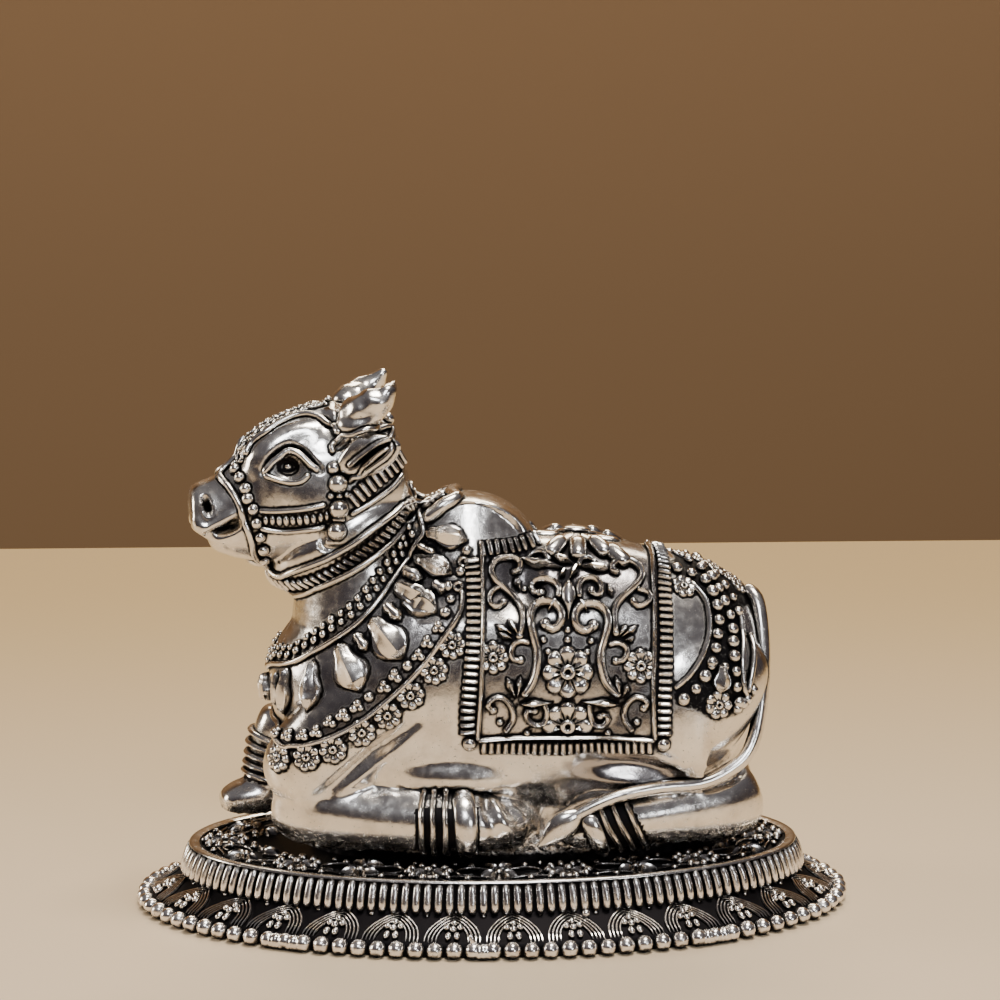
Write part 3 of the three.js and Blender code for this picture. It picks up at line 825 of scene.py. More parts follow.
def rosette(piece, place, radius):
    """A dome of leaves with a ball in the middle and a ring of ball petals round it"""
    dome = basis(place + UP * -0.1, TAILWARD, UP, (radius * 0.55, radius * 0.55, 0.6))
    stamp(piece, PEARL, dome)
    for i in range(ROSETTE_LEAVES):
        ahead = level(2 * math.pi * (i + 0.5) / ROSETTE_LEAVES)
        start = place + ahead * 0.5 + UP * 0.1
        leaf_blade(piece, start, ahead, length=radius * 0.55, half=0.4, height=0.6)
    for i in range(ROSETTE_BALLS):
        ahead = level(2 * math.pi * i / ROSETTE_BALLS)
        spot = place + ahead * radius * 0.84 + UP * 0.22
        stamp(piece, PEARL, basis(spot, ahead, UP, (radius * 0.19, radius * 0.15, radius * 0.2)))
    stamp(piece, PEARL, basis(place + UP * 0.75, TAILWARD, UP, (0.6, 0.6, 0.5)))


garland = bmesh.new()
for i in range(ROSETTE_COUNT):
    share = i / ROSETTE_COUNT
    rosette(garland, oval_place(share, ROSETTE_INSET, PLATE_HEIGHT), ROSETTE_RADIUS)
    middle = share + 0.5 / ROSETTE_COUNT
    inward = -oval_out(middle, BAND_INSET)
    edge_inset = BAND_INSET + LIP_WIDTH + 0.5
    root = oval_place(middle, edge_inset + 3.4, PLATE_HEIGHT - 0.05)
    for degrees in OUTER_FAN:
        ahead = level_turn(-inward, degrees)
        length = 2.2 if abs(degrees) > 90 else 2.7
        leaf_blade(garland, root + ahead * 0.5, ahead, length, half=0.62, height=0.75)
    for degrees in INNER_FAN:
        ahead = level_turn(inward, degrees)
        leaf_blade(garland, root + inward * 3.2, ahead, length=2.6, half=0.6, height=0.7)
    stamp(garland, PEARL, basis(root + UP * 0.35, inward, UP, (0.62, 0.62, 0.55)))
    for way in (-1, 1):
        for step, inset, size in LOOSE_BEADS:
            spot = oval_place(middle + way * step, edge_inset + inset, PLATE_HEIGHT + 0.25)
            stamp(garland, PEARL, basis(spot, inward, UP, (size, size, size * 0.9)))
        for radius, points in TENDRILS:
            tendril(garland, [
                oval_place(middle + way * step, edge_inset + inset, PLATE_HEIGHT + high)
                for step, inset, high in points
            ], radius)
garland_ground = garland.verts.layers.float.new("ground_and_shade")
for vert in garland.verts:
    vert[garland_ground] = 1 - 0.8 * part_way(vert.co.z, GARLAND_DARK_BELOW, GARLAND_BRIGHT_ABOVE)
cast_base(garland, "base_garland")

# %% [markdown]
# ## The bull's plain form
# A caster would model the bull in wax: a barrel for the body, a neck, a hump, haunches and folded legs,
# pressed together and rubbed until the joins are soft. Here each form is a ball drawn out along its
# stations. A voxel remesh then melts the forms into one skin, and smoothing rubs the joins.

# %% Forms drawn along stations
TORSO = [  # x, y, z, half width, half height
    (-32.3, 0, 27, 9, 12.5), (-26, 0, 29, 14, 17), (-18, 0, 31, 16, 20.6), (-8, 0, 33, 16.3, 23.2),
    (2, 0, 33.3, 16.3, 23.6), (12, 0, 33.3, 16.3, 23.4), (22, 0, 32.6, 16.3, 22.3),
    (30.5, 0, 31.6, 15.6, 21.2), (39.3, 0, 29, 12, 17.5),
]
NECK = [
    (-19.6, 0, 70, 7.2, 7.4), (-20.6, 0, 60, 8.2, 8.2), (-20.5, 0, 50, 10, 9.6),
    (-18, 0, 38, 14.5, 14.5),
]
HUMP = [(-10.5, 0, 49.2, 8, 9.8), (-3.6, 0, 52.6, 8.5, 10.7), (5.2, 0, 48.8, 7.5, 8)]
HAUNCH = [(12.5, -10.5, 21, 6, 8), (20, -9.5, 27, 8, 12), (29, -7.5, 31, 9.5, 15), (36, -5, 27, 8, 14)]
SHOULDER = [
    (-31.2, -8.5, 18, 6, 8), (-26, -9.6, 24, 6.6, 8.6), (-19, -9.6, 32, 6.6, 9), (-13, -8, 40, 6.4, 9),
]
NEAR_FORE = [
    (-32.6, -7, 18.6, 6, 6.6), (-26, -9.5, 17.2, 6, 6.2), (-18, -12.3, 16.4, 5, 5),
    (-10.5, -14.3, 16.2, 4.5, 4.4), (-3, -15, 15.9, 4.4, 4.2), (4.8, -13.5, 15.2, 3.4, 3.4),
]
FAR_FORE_ARM = [(-18, 9, 34, 6.5, 8), (-25, 10.2, 28.5, 6, 7), (-31.5, 10.4, 24.5, 4.6, 4.8)]
FAR_FORE_SHANK = [
    (-31.5, 10.4, 27.4, 4, 4.2), (-33.2, 10.6, 22.5, 4, 4), (-34.2, 10.6, 17.5, 3.8, 3.8),
    (-35, 10.4, 13, 3.8, 4.2),
]
FAR_FORE_HOOF = [(-33, 10.4, 14, 4, 3), (-38, 10, 13.8, 4, 2.8), (-42, 9, 13, 3.2, 1.9)]
HIND = [
    (38.6, -4, 18.6, 5, 6.6), (34.5, -6.8, 17, 5.8, 6.2), (29, -9.8, 16.5, 5, 5.2),
    (22, -12.6, 16.2, 4.4, 4.3), (15, -14.8, 15.9, 4.2, 4.1), (8.6, -15.8, 15, 3.2, 3.1),
]
SEAT = (2.5, 31.0, 13.5, 7.5, 20.0)  # middle x, half length, half depth, lowest and highest z


def far(stations):
    """The same stations on the far side"""
    return [(x, -y, z, wide, high) for x, y, z, wide, high in stations]


def along(stations, share):
    """The place, the directions across and up, and the half sizes at a share of the way"""
    places = [Vector(station[:3]) for station in stations]
    sizes = [Vector((*station[3:], 0)) for station in stations]
    ahead = (smooth(places, share + 0.002) - smooth(places, share - 0.002)).normalized()
    across = (Vector((0, 1, 0)) - ahead * ahead.y).normalized()
    return smooth(places, share), across, ahead.cross(across), smooth(sizes, share)


def drawn_ball(stations, blunt, sides=40, rings=40, square=2.0):
    """A ball drawn out along its stations. High numbers make its ends blunt and its section square."""
    part = bmesh.new()
    bmesh.ops.create_uvsphere(part, u_segments=sides, v_segments=rings, radius=1)
    for vert in part.verts:
        around = math.atan2(vert.co.y, vert.co.x)
        full = max(0.0, 1 - abs(vert.co.z) ** blunt) ** (1 / blunt)
        place, across, rise, size = along(stations, (1 - vert.co.z) / 2)
        turned = (math.cos(around), math.sin(around))
        wide, high = (math.copysign(abs(n) ** (2 / square), n) for n in turned)
        vert.co = place + across * wide * size.x * full + rise * high * size.y * full
    return part


def rubbed(part, verts, times):
    """Smooths a part of a skin, as a wax is rubbed with a thumb"""
    for _ in range(times):
        bmesh.ops.smooth_vert(
            part, verts=verts, factor=0.5, use_axis_x=True, use_axis_y=True, use_axis_z=True,
        )


def melted(forms, voxel, rubbing):
    """Melts overlapping forms into one skin by a voxel remesh, and rubs it smooth"""
    whole = bmesh.new()
    for form in forms:
        bmesh.ops.recalc_face_normals(form, faces=form.faces)
        add_part(whole, form)
    mesh = kept(whole, "forms")
    item = bpy.data.objects.new("forms", mesh)
    bpy.context.scene.collection.objects.link(item)
    item.modifiers.new("melt", "REMESH").voxel_size = voxel
    skin = bpy.data.meshes.new_from_object(item.evaluated_get(bpy.context.evaluated_depsgraph_get()))
    bpy.data.objects.remove(item)
    part = bmesh.new()
    part.from_mesh(skin)
    bpy.data.meshes.remove(skin)
    rubbed(part, part.verts, rubbing)
    part.normal_update()
    return part


# %% [markdown]
# ## The skin, and lines drawn on it
# A tree of the skin's faces answers two questions: what does the camera see at a pixel, and which
# spot of the skin is nearest to a point? The near flank's ornament is drawn with the first. Its
# far twin is the mirror image, brought down on to the skin with the second.


# %% The skin
class Skin:
    """A skin that lines are drawn on, with the mirror plane of what it belongs to"""

    def __init__(self, part, flip):
        self.tree = BVHTree.FromBMesh(part)
        self.flip = flip

    def onto(self, point, reach=0.9):
        """The nearest spot of the skin, with the mean direction that the skin faces near it"""
        place = self.tree.find_nearest(point)[0]
        total = Vector()
        for _, out, _, _ in self.tree.find_nearest_range(place, reach):
            total += out
        return place, total.normalized()

    def seen(self, pixel, side=-1):
        """The spot that the camera sees at a pixel, or its mirror image on the far side"""
        ray = sight(pixel)
        place = self.tree.ray_cast(CAMERA_PLACE, ray)[0]
        if place is None:
            in_middle = CAMERA_PLACE + ray * (-CAMERA_PLACE.y / ray.y)
            place = self.tree.find_nearest(in_middle)[0]
        return place if side < 0 else self.tree.find_nearest(self.flip @ place)[0]

    def route(self, pixels, side=-1):
        """A smooth line through the spots that are seen at the pixels"""
        return Route([self.seen(pixel, side) for pixel in pixels])


CARVING_STEP = 0.4


def carve(part, line, width, depth):
    """Presses a line that fades at its ends into a skin, or raises it where depth is below zero"""
    count = max(8, round(line.length / CARVING_STEP))
    marks = KDTree(count + 1)
    for i in range(count + 1):
        marks.insert(line.at(i / count), i)
    marks.balance()
    for vert in part.verts:
        _, i, away = marks.find(vert.co)
        if away < width:
            full = math.sin(math.pi * within(i / count, 0.04, 0.96)) ** 0.5
            vert.co -= vert.normal * depth * full * (1 - (away / width) ** 2) ** 2
    part.normal_update()


def dent(part, place, size, depth):
    """Presses a hollow into a skin round a place, or raises a lump where depth is below zero"""
    for vert in part.verts:
        away = (vert.co - place).length / size
        if away < 1:
            vert.co -= vert.normal * depth * (1 - away ** 2) ** 2
    part.normal_update()


# %% Lines, beads, bars, leaves and flowers on the skin
SIDES = (-1, 1)
FINE_CORD = 0.42


def cord(piece, skin, line, radius, flat=1.0, rise=0.25, sides=8, step=0.8, taper=None):
    """A round cord that lies along a line of the skin"""
    if line.closed:
        count = round(line.length / step)
        spots = [skin.onto(line.at(i / count)) for i in range(count)]
        spots.append(spots[0])
        spots = [(place + out * radius * rise, out) for place, out in spots]
        sweep(piece, spots, even_section(radius, radius * flat), sides, closed=True)
        return
    shares, cap = round_shares(line.length, radius, step)
    spots = [skin.onto(line.at(share)) for share in shares]
    spots = [(place + out * radius * rise, out) for place, out in spots]
    sweep(piece, spots, bar_section(shares, cap, radius, radius * flat, taper), sides)


def row(skin, line, pitch):
    """Evenly spaced spots along a line: each a place, its outward direction and the way ahead"""
    count = max(1, round(line.length / pitch))
    for i in range(count if line.closed else count + 1):
        share = i / count
        place, out = skin.onto(line.at(share))
        ahead = line.at(min(share + 0.01, 1)) - line.at(max(share - 0.01, 0))
        yield share, place, out, ahead


def beads(piece, skin, line, pitch, radius, rise=0.35, long=1.0, pattern=None, vary=0.08):
    """A row of beads along a line, each a little different in size"""
    for _, place, out, ahead in row(skin, line, pitch):
        size = radius * chance.uniform(1 - vary, 1 + vary)
        spot = basis(place + out * size * rise, ahead, out, (size, size * long, size * 0.95))
        stamp(piece, pattern or SEED, spot)


def bars(piece, skin, line, pitch, length, half, high, lean=0.0, rise=0.1):
    """Short bars that lie side by side across a line"""
    for _, place, out, ahead in row(skin, line, pitch):
        across = Matrix.Rotation(math.pi / 2 + lean, 3, out) @ ahead
        half_long = length / 2 * chance.uniform(0.95, 1.04)
        stamp(piece, BAR, basis(place + out * rise, across, out, (half_long, half, high)))


def bead(piece, skin, pixel, radius, side, long=1.0, rise=0.35):
    """One bead where the camera sees a pixel, or its twin on the far side"""
    place, out = skin.onto(skin.seen(pixel, side))
    stamp(piece, PEARL, basis(place + out * radius * rise, UP, out, (radius * long, radius, radius)))


def flower(piece, skin, pixel, radius, side, pattern=None, turn=0.0, high=0.9):
    """A flower that lies on the skin where the camera sees a pixel, or its twin on the far side"""
    place, out = skin.onto(skin.seen(pixel, side), 1.4)
    ahead = Matrix.Rotation(turn, 3, out) @ UP
    spot = basis(place - out * 0.1 * radius, ahead, out, (radius, radius, radius * high))
    stamp(piece, pattern or FLOWER, spot)


LEAF_WIDTHS = [0.0, 0.36, 0.5, 0.56, 0.74, 0.94, 1.0, 0.92, 0.7, 0.36, 0.0]
LEAF_STEPS = 26
LEAF_WALL = 0.75
LEAF_RIM_AT = 0.88
LEAF_LINE_HALF = 0.09


def leaf(piece, skin, line, half, high, sides=32, rim=0.16, widths=None):
    """A leaf of two facets that meet in a raised spine, with a rim and steep walls, from stem to tip"""
    outline = [Vector((wide, 0, 0)) for wide in widths or LEAF_WIDTHS]
    middle = skin.onto(line.at(0.5), 1.6)[1]
    spots = [(skin.onto(line.at(i / LEAF_STEPS))[0], middle) for i in range(LEAF_STEPS + 1)]
    wall = LEAF_WALL * min(1.0, high)

    def section(share, angle):
        wide = max(smooth(outline, share).x, 0.0)
        turn = angle / math.pi
        if turn > 1.001:
            return half * wide * (2 * turn - 3), -SINK * 2
        edge = 1 - 2 * turn
        facet = high * (1 - abs(edge) ** 1.15)
        spine = math.exp(-(edge / LEAF_LINE_HALF) ** 2)
        lines = rim * (spine + 1.3 * math.exp(-((abs(edge) - LEAF_RIM_AT) / LEAF_LINE_HALF) ** 2))
        full = min(1.0, (wide * 1.6) ** 0.6)
        return half * wide * edge, wall * full * (abs(edge) < 0.99) + (facet + lines) * full

    sweep(piece, spots, section, sides)


# %% [markdown]
# ## Body and legs
# The near legs lie folded, and the far foreleg is raised on its hoof. Under the legs the casting is
# rough and full of black pits, because no wheel reaches there. The pits are marks on the skin: the
# finish reads how rough a spot is from an attribute of the mesh.

# %% The body
BODY_VOXEL = 0.46
BODY_FLIP = Matrix.Diagonal((1, -1, 1, 1))
HUMP_EDGE = [  # x and z of the edge between a side and the top
    (-12, 58.2), (-8.6, 60.8), (-4.6, 62.3), (-1.0, 61.7), (2.2, 59.4), (5.2, 55.6), (7.5, 51.5),
]
HUMP_EDGE_OUT = 4.6
HUMP_FLARE = 0.52
HUMP_FADE = 4.5
HUMP_FLAT_ABOVE = 46.0
HUMP_EDGE_STEPS = 60
LEG_LINES = [  # near side only: half width, depth, pixels
    (1.9, 1.5, [(414, 722), (394, 738), (370, 757), (343, 780), (322, 796)]),
    (0.8, -0.35, [(420, 727), (400, 744), (376, 765), (352, 785)]),
    (3.6, -1.8, [(394, 787), (412, 783), (436, 780), (462, 780), (486, 783), (512, 787)]),
    (0.9, 0.5, [
        (386, 787), (404, 791), (421, 790), (447, 788), (475, 789.5), (494, 785), (525, 789),
        (557, 794),
    ]),
    (0.8, 0.5, [(424, 768), (426, 776), (427, 784)]), (0.8, 0.5, [(437, 766), (439, 775), (440, 784)]),
    (0.8, 0.5, [(450, 767), (453, 775), (456, 784)]),
    (1.0, -0.8, [(489, 786), (496, 806), (507, 828), (523, 846)]),
    (1.0, 0.8, [(484, 790), (488, 812), (496, 838)]), (1.2, 0.9, [(500, 792), (512, 812), (530, 838)]),
    (1.4, 1.0, [(545, 800), (541, 820), (546, 838)]),
]
HOOF_SPAN = (-1.5, 11.0)
HOOF_TOP = 22.0
FLANK_LINES = [  # both sides
    (2.9, 2.4, [(588, 764), (612, 767), (640, 770), (664, 775), (680, 779)]),
    (1.3, -0.7, [(650, 753), (664, 759), (678, 768), (688, 776)]),
    (0.8, 0.9, [(752, 762), (742, 772), (726, 782), (700, 789), (670, 791)]),
]


def seat_form():
    """The block between the legs, which carries the bull on the plate"""
    middle, half_long, half_deep, low, high = SEAT
    part = bmesh.new()
    bmesh.ops.create_cone(part, cap_ends=True, segments=48, radius1=1, radius2=0.9, depth=1)
    size = Matrix.Diagonal((half_long, half_deep, high - low, 1))
    place = Matrix.Translation((middle, 0, (low + high) / 2))
    bmesh.ops.transform(part, matrix=place @ size, verts=part.verts)
    return part


def facet_hump(part):
    """Presses the hump's two sides flat, so that they meet its top in an edge"""
    edge = Route([(x, 0, z) for x, z in HUMP_EDGE])
    top = [edge.at(i / HUMP_EDGE_STEPS) for i in range(HUMP_EDGE_STEPS + 1)]
    for vert in part.verts:
        x, y, z = vert.co
        pressed = within((top[-1].x - x) / HUMP_FADE) * within((z - HUMP_FLAT_ABOVE) / HUMP_FADE)
        if top[0].x < x and pressed:
            over = min(top, key=lambda spot: abs(spot.x - x)).z - z
            limit = HUMP_EDGE_OUT + HUMP_FLARE * max(over, 0)
            if abs(y) > limit:
                vert.co.y = math.copysign(abs(y) + (limit - abs(y)) * pressed, y)
    part.normal_update()


forms = [
    drawn_ball(TORSO, 4.5, sides=64, rings=64), drawn_ball(NECK, 6),
    drawn_ball(HUMP, 3, sides=48, rings=48, square=3.0),
    drawn_ball(SHOULDER, 3.5), drawn_ball(HAUNCH, 3), drawn_ball(far(HAUNCH), 3),
    drawn_ball(NEAR_FORE, 5), drawn_ball(HIND, 5), drawn_ball(far(HIND), 5),
    drawn_ball(FAR_FORE_ARM, 4), drawn_ball(FAR_FORE_SHANK, 6), drawn_ball(FAR_FORE_HOOF, 4),
    seat_form(),
]
body = melted(forms, BODY_VOXEL, 4)
plain_skin = Skin(body, BODY_FLIP)
for width, depth, pixels in LEG_LINES:
    carve(body, plain_skin.route(pixels), width, depth)
for width, depth, pixels in FLANK_LINES:
    for side in SIDES:
        carve(body, plain_skin.route(pixels, side), width, depth)
rubbed(body, body.verts, 1)
hoof = [vert for vert in body.verts if HOOF_SPAN[0] < vert.co.x < HOOF_SPAN[1] and vert.co.z < HOOF_TOP]
rubbed(body, hoof, 7)
facet_hump(body)

# %% Rough casting under the legs
ROUGH_BELOW = 14.0
ROUGH_FULL = 11.6
ROUGH_HEIGHT = 0.35
pitted = body.verts.layers.float.new("pitted")
body.verts.layers.float.new("ground_and_shade")
for vert in body.verts:
    low = part_way(vert.co.z, ROUGH_BELOW, ROUGH_FULL)
    vert[pitted] = low
    lump = noise.noise(vert.co * 0.9) + 0.5 * noise.noise(vert.co * 1.9)
    vert.co += vert.normal * lump * ROUGH_HEIGHT * low
body.normal_update()
body_skin = Skin(body, BODY_FLIP)
print("body:", len(body.faces), "faces")

# %% [markdown]
# ## The head
# The head is made straight and then turned a little towards the viewer, so everything on it mirrors
# about its own turned plane. It is melted at a finer voxel than the body, because its forms are the
# smallest. The horns are left lumpy, as they came out of the mould.

# %% The head's form
HEAD_VOXEL = 0.27
HEAD_TURN = math.radians(7)
HEAD_PIVOT = Vector((-18, 0, 0))
HEAD = [
    (-13.5, 0, 66.5, 7, 9.5), (-22, 0, 65.4, 8.9, 12.7), (-29.5, 0, 64.2, 8.8, 12.2),
    (-35.5, 0, 61.7, 6.6, 8.8), (-41, 0, 60.7, 5.1, 6.2), (-45.7, 0, 60.5, 4.9, 5.3),
]
THROAT = [(-20.6, 0, 54.3, 8.4, 11.6), (-22.6, 0, 57.4, 9.2, 12.6), (-24.8, 0, 61, 8.9, 11.6)]
HEAD_MIDDLE_HEIGHT = 60.0
HEAD_TAPER = 0.016
FOREHEAD_LOWERED = 0.9
FOREHEAD_HEIGHTS = (70.0, 74.0)  # from untouched to lowered in full
CHIN_BACK = 2.5
CHIN_HEIGHTS = (59.2, 57.2)
CHIN_FRONT = (-39.5, -44.5)
HORN_ROUGH_HEIGHTS = (75.0, 77.0)
HORN = [
    (-22.4, -4.2, 75, 3.2, 3.2), (-19.4, -6, 77.2, 2.7, 2.7), (-17, -6.4, 79.0, 1.8, 1.8),
    (-15.2, -5.6, 81.2, 0.5, 0.5),
]
EAR = [
    (-24.4, -8, 68.4, 1.2, 1.8), (-20.5, -9.2, 70.4, 1.1, 3.1), (-17.4, -10, 71.6, 0.9, 2.5),
    (-15.2, -10.5, 72.4, 0.6, 1.1),
]
HEAD_PLACE = (
    Matrix.Translation(HEAD_PIVOT) @ Matrix.Rotation(HEAD_TURN, 4, "Z") @ Matrix.Translation(-HEAD_PIVOT)
)
HEAD_FLIP = HEAD_PLACE @ BODY_FLIP @ HEAD_PLACE.inverted()


def in_head(forms):
    """Turns the head's straight forms into their place"""
    for form in forms:
        bmesh.ops.transform(form, matrix=HEAD_PLACE, verts=form.verts)
    return forms


def shaped_skull():
    """The skull, narrower at the brow than at the jaw, with the chin set back under the lip"""
    skull = drawn_ball(HEAD, 8, sides=96, rings=96)
    for vert in skull.verts:
        vert.co.y *= 1 - HEAD_TAPER * (vert.co.z - HEAD_MIDDLE_HEIGHT)
        vert.co.z -= FOREHEAD_LOWERED * part_way(vert.co.z, *FOREHEAD_HEIGHTS)
        vert.co.x += CHIN_BACK * part_way(vert.co.z, *CHIN_HEIGHTS) * part_way(vert.co.x, *CHIN_FRONT)
    return skull


head_forms = [shaped_skull(), drawn_ball(THROAT, 4, sides=48, rings=48)]
for near_form, blunt in ((HORN, 5), (EAR, 3)):
    for stations in (near_form, far(near_form)):
        head_forms.append(drawn_ball(stations, blunt, sides=32, rings=32))
head = melted(in_head(head_forms), HEAD_VOXEL, 4)
for vert in head.verts:
    over = part_way(vert.co.z, *HORN_ROUGH_HEIGHTS)
    vert.co += vert.normal * over * ROUGH_HEIGHT * noise.noise(vert.co * 0.5)
head.normal_update()

# %% Nostrils, mouth and brows
FACE_LINES = [  # half width, depth, pixels
    (0.8, 1.9, [(204.5, 498), (206.5, 505), (209, 512)]),
    (0.7, -0.2, [(201.5, 499), (203, 508), (207, 515)]),
    (1.5, 2.3, [(209, 536), (217, 533), (228, 528), (239, 521)]),
    (1.25, -0.6, [(195, 522), (199.5, 527.5), (208, 530.5), (219, 525.5), (230, 518), (241, 513.5)]),
    (0.9, 1.0, [(263.5, 472), (271.5, 457), (287, 447), (301, 450.5), (310, 460), (320, 470)]),
    (2.6, -0.8, [(250, 468), (262, 450), (280, 436), (304, 429), (322, 436)]),
    (1.5, -1.1, [(331, 404), (333, 415), (345.5, 426), (364, 426), (377, 421)]),
    (0.75, 1.2, [(338, 448), (351, 441), (368, 435), (384, 432)]),
    (0.75, 1.2, [(350, 468), (364, 457), (377.5, 449), (389.5, 443.5)]),
    (0.7, 1.0, [(351.5, 479.5), (365, 469.5), (379, 458), (390.5, 446)]),
    (0.9, 0.7, [(328, 511), (322, 545), (345, 548)]),
]
head_plain = Skin(head, HEAD_FLIP)
EYE_PX = (288, 467)
for side in SIDES:
    dent(head, head_plain.seen(EYE_PX, side), size=3.1, depth=1.3)
    for width, depth, pixels in FACE_LINES:
        carve(head, head_plain.route(pixels, side), width, depth)
head_skin = Skin(head, HEAD_FLIP)
print("head:", len(head.faces), "faces")

# %% Both skins together, for what goes round the neck
joined = bmesh.new()
for part in (body, head):
    add_part(joined, part.copy())
whole_skin = Skin(joined, BODY_FLIP)
joined.free()

# %% [markdown]
# ## Eyes, halter and horns' roots
# The eye is a dome with a ring cut into it, between two thick lids. The halter's straps are pairs of
# cords with lozenges between them, and a drop of beads hangs where they meet. All of it is laid on the
# near side by pixel, and mirrored.


# %% The eyes
IRIS_RADIUS = 0.36
IRIS_CUT = 1.1
IRIS_HALF_WIDTH = 0.1
EYE_SIZE = (1.75, 2.5, 1.45)


def eye_dome():
    """A low dome of radius 1 with a deep iris ring cut round its pupil"""
    part = ball(28, 30)
    turn = Matrix.Rotation(-math.pi / 2, 3, "Y")
    bmesh.ops.rotate(part, verts=part.verts, cent=(0, 0, 0), matrix=turn)
    for vert in part.verts:
        away = math.hypot(vert.co.x, vert.co.y)
        if vert.co.z > 0:
            vert.co.z -= IRIS_CUT * math.exp(-((away - IRIS_RADIUS) / IRIS_HALF_WIDTH) ** 2)
    return part


EYE = kept(eye_dome(), "eye")
UPPER_LID_PX = [
    (264, 475), (270, 466), (278, 458), (290, 452), (302, 457.5), (311, 466.5), (319.5, 471.5),
]
LOWER_LID_PX = [(265, 475.5), (274, 479), (282, 482), (292, 483.5), (302.5, 481), (309.5, 474)]
ornament = bmesh.new()
for side in SIDES:
    place, out = head_skin.onto(head_skin.seen(EYE_PX, side), 2.0)
    stamp(ornament, EYE, basis(place - out * 0.75, UP, out, EYE_SIZE))
    for pixels, radius in ((UPPER_LID_PX, 0.5), (LOWER_LID_PX, 0.42)):
        cord(ornament, head_skin, head_skin.route(pixels, side), radius, flat=1.1, rise=1.0, step=0.4)

# %% Halter
NOSE_BAND_PX = [(221, 473), (229, 487), (238, 501), (245, 519), (252, 541), (256.5, 557)]
NOSE_BEADS_PX = [
    (236, 469.5), (240.5, 478), (246, 489), (248, 499), (253.5, 509.5), (257, 523), (260.5, 536.5),
    (263.5, 549), (264.5, 559),
]
CHEEK_CORDS_PX = [
    [(259, 510.5), (275, 511), (293, 510), (310, 508), (326, 504.5)],
    [(260, 528), (275, 530.5), (290, 531), (310, 529), (326, 526)],
]
CHEEK_ROW_PX = [(266, 520), (290, 520.5), (310, 519), (327, 516)]
DROP_BEADS_PX = [  # pixel, radius, how wide
    ((335.5, 468), 0.95, 1), ((337.5, 484), 1.4, 1), ((331, 496), 0.5, 1), ((339, 496), 0.52, 1),
    ((346, 495), 0.5, 1), ((338.5, 508.5), 1.45, 1), ((338.5, 519), 0.95, 1.6), ((337.5, 531.5), 1.4, 1),
]
HALTER_ROW_PX = [(353.5, 500), (364, 490), (377, 479), (390, 468), (401, 457)]
HALTER_CORD_PX = [(350, 514.5), (371, 502), (391.5, 487), (402, 473)]
BROW_CORD_PX = [
    (247, 456), (253, 443), (266, 433.5), (279.5, 424), (296, 416.5), (311.5, 415), (324, 421),
    (341, 431.5),
]


def round_route(skin, pixels, first_push, last_push):
    """A closed line: the near half as seen, its mirror image, and a middle point at each end"""
    near = [skin.seen(pixel) for pixel in pixels]
    ends = []
    for place, push in ((near[0], first_push), (near[-1], last_push)):
        middle = (place + skin.flip @ place) / 2 + Vector(push)
        ends.append(skin.onto(middle)[0])
    mirrored = [skin.flip @ place for place in reversed(near)]
    return Route([ends[0]] + near + [ends[1]] + mirrored, closed=True)


nose_band = round_route(head_skin, NOSE_BAND_PX, (0, 0, 8), (0, 0, -8))
cord(ornament, head_skin, nose_band, 0.5, rise=0.5)
for side in SIDES:
    for pixel in NOSE_BEADS_PX:
        bead(ornament, head_skin, pixel, 0.86 * chance.uniform(0.92, 1.05), side)
    for pixels in CHEEK_CORDS_PX:
        cord(ornament, head_skin, head_skin.route(pixels, side), FINE_CORD, rise=0.5)
    cheek_row = head_skin.route(CHEEK_ROW_PX, side)
    beads(ornament, head_skin, cheek_row, pitch=1.02, radius=0.42, rise=0.4, long=1.9)
    cord(ornament, head_skin, head_skin.route(BROW_CORD_PX, side), 0.48, flat=1.1, rise=0.5)
    for pixel, radius, wide in DROP_BEADS_PX:
        place, out = whole_skin.onto(head_skin.seen(pixel, side))
        left, right = (head_skin.seen((pixel[0] + step, pixel[1]), side) for step in (-3, 3))
        flat = radius / wide
        stamp(ornament, PEARL, basis(place + out * flat * 0.45, right - left, out, (radius, flat, flat)))
    halter = whole_skin.route(HALTER_ROW_PX, side)
    bars(ornament, whole_skin, halter, pitch=1.12, length=2.6, half=0.44, high=0.55)
    cord(ornament, whole_skin, whole_skin.route(HALTER_CORD_PX, side), FINE_CORD, rise=0.5)

# %% Ears and horns' roots
EAR_RIM_PX = [
    (334.5, 453), (331, 450), (333, 443.5), (348, 433.5), (371, 427.5), (385, 427.5), (392, 432),
    (392, 446), (385, 458), (364, 473), (348, 481),
]
EAR_RIDGES_PX = [
    [(348, 466), (364, 452), (379, 442.5), (391, 439.5)],
    [(350, 478), (364, 466), (377.5, 455), (390, 447)],
]
HORN_BEADS_PX = [((328.5, 400.5), 0.55), ((393, 412), 1.0)]
for side in SIDES:
    cord(ornament, head_skin, head_skin.route(EAR_RIM_PX, side), FINE_CORD, flat=1.1, rise=0.6)
    for pixels in EAR_RIDGES_PX:
        cord(ornament, head_skin, head_skin.route(pixels, side), 0.4, flat=1.3, rise=0.6)
    for pixel, radius in HORN_BEADS_PX:
        bead(ornament, head_skin, pixel, radius, side)

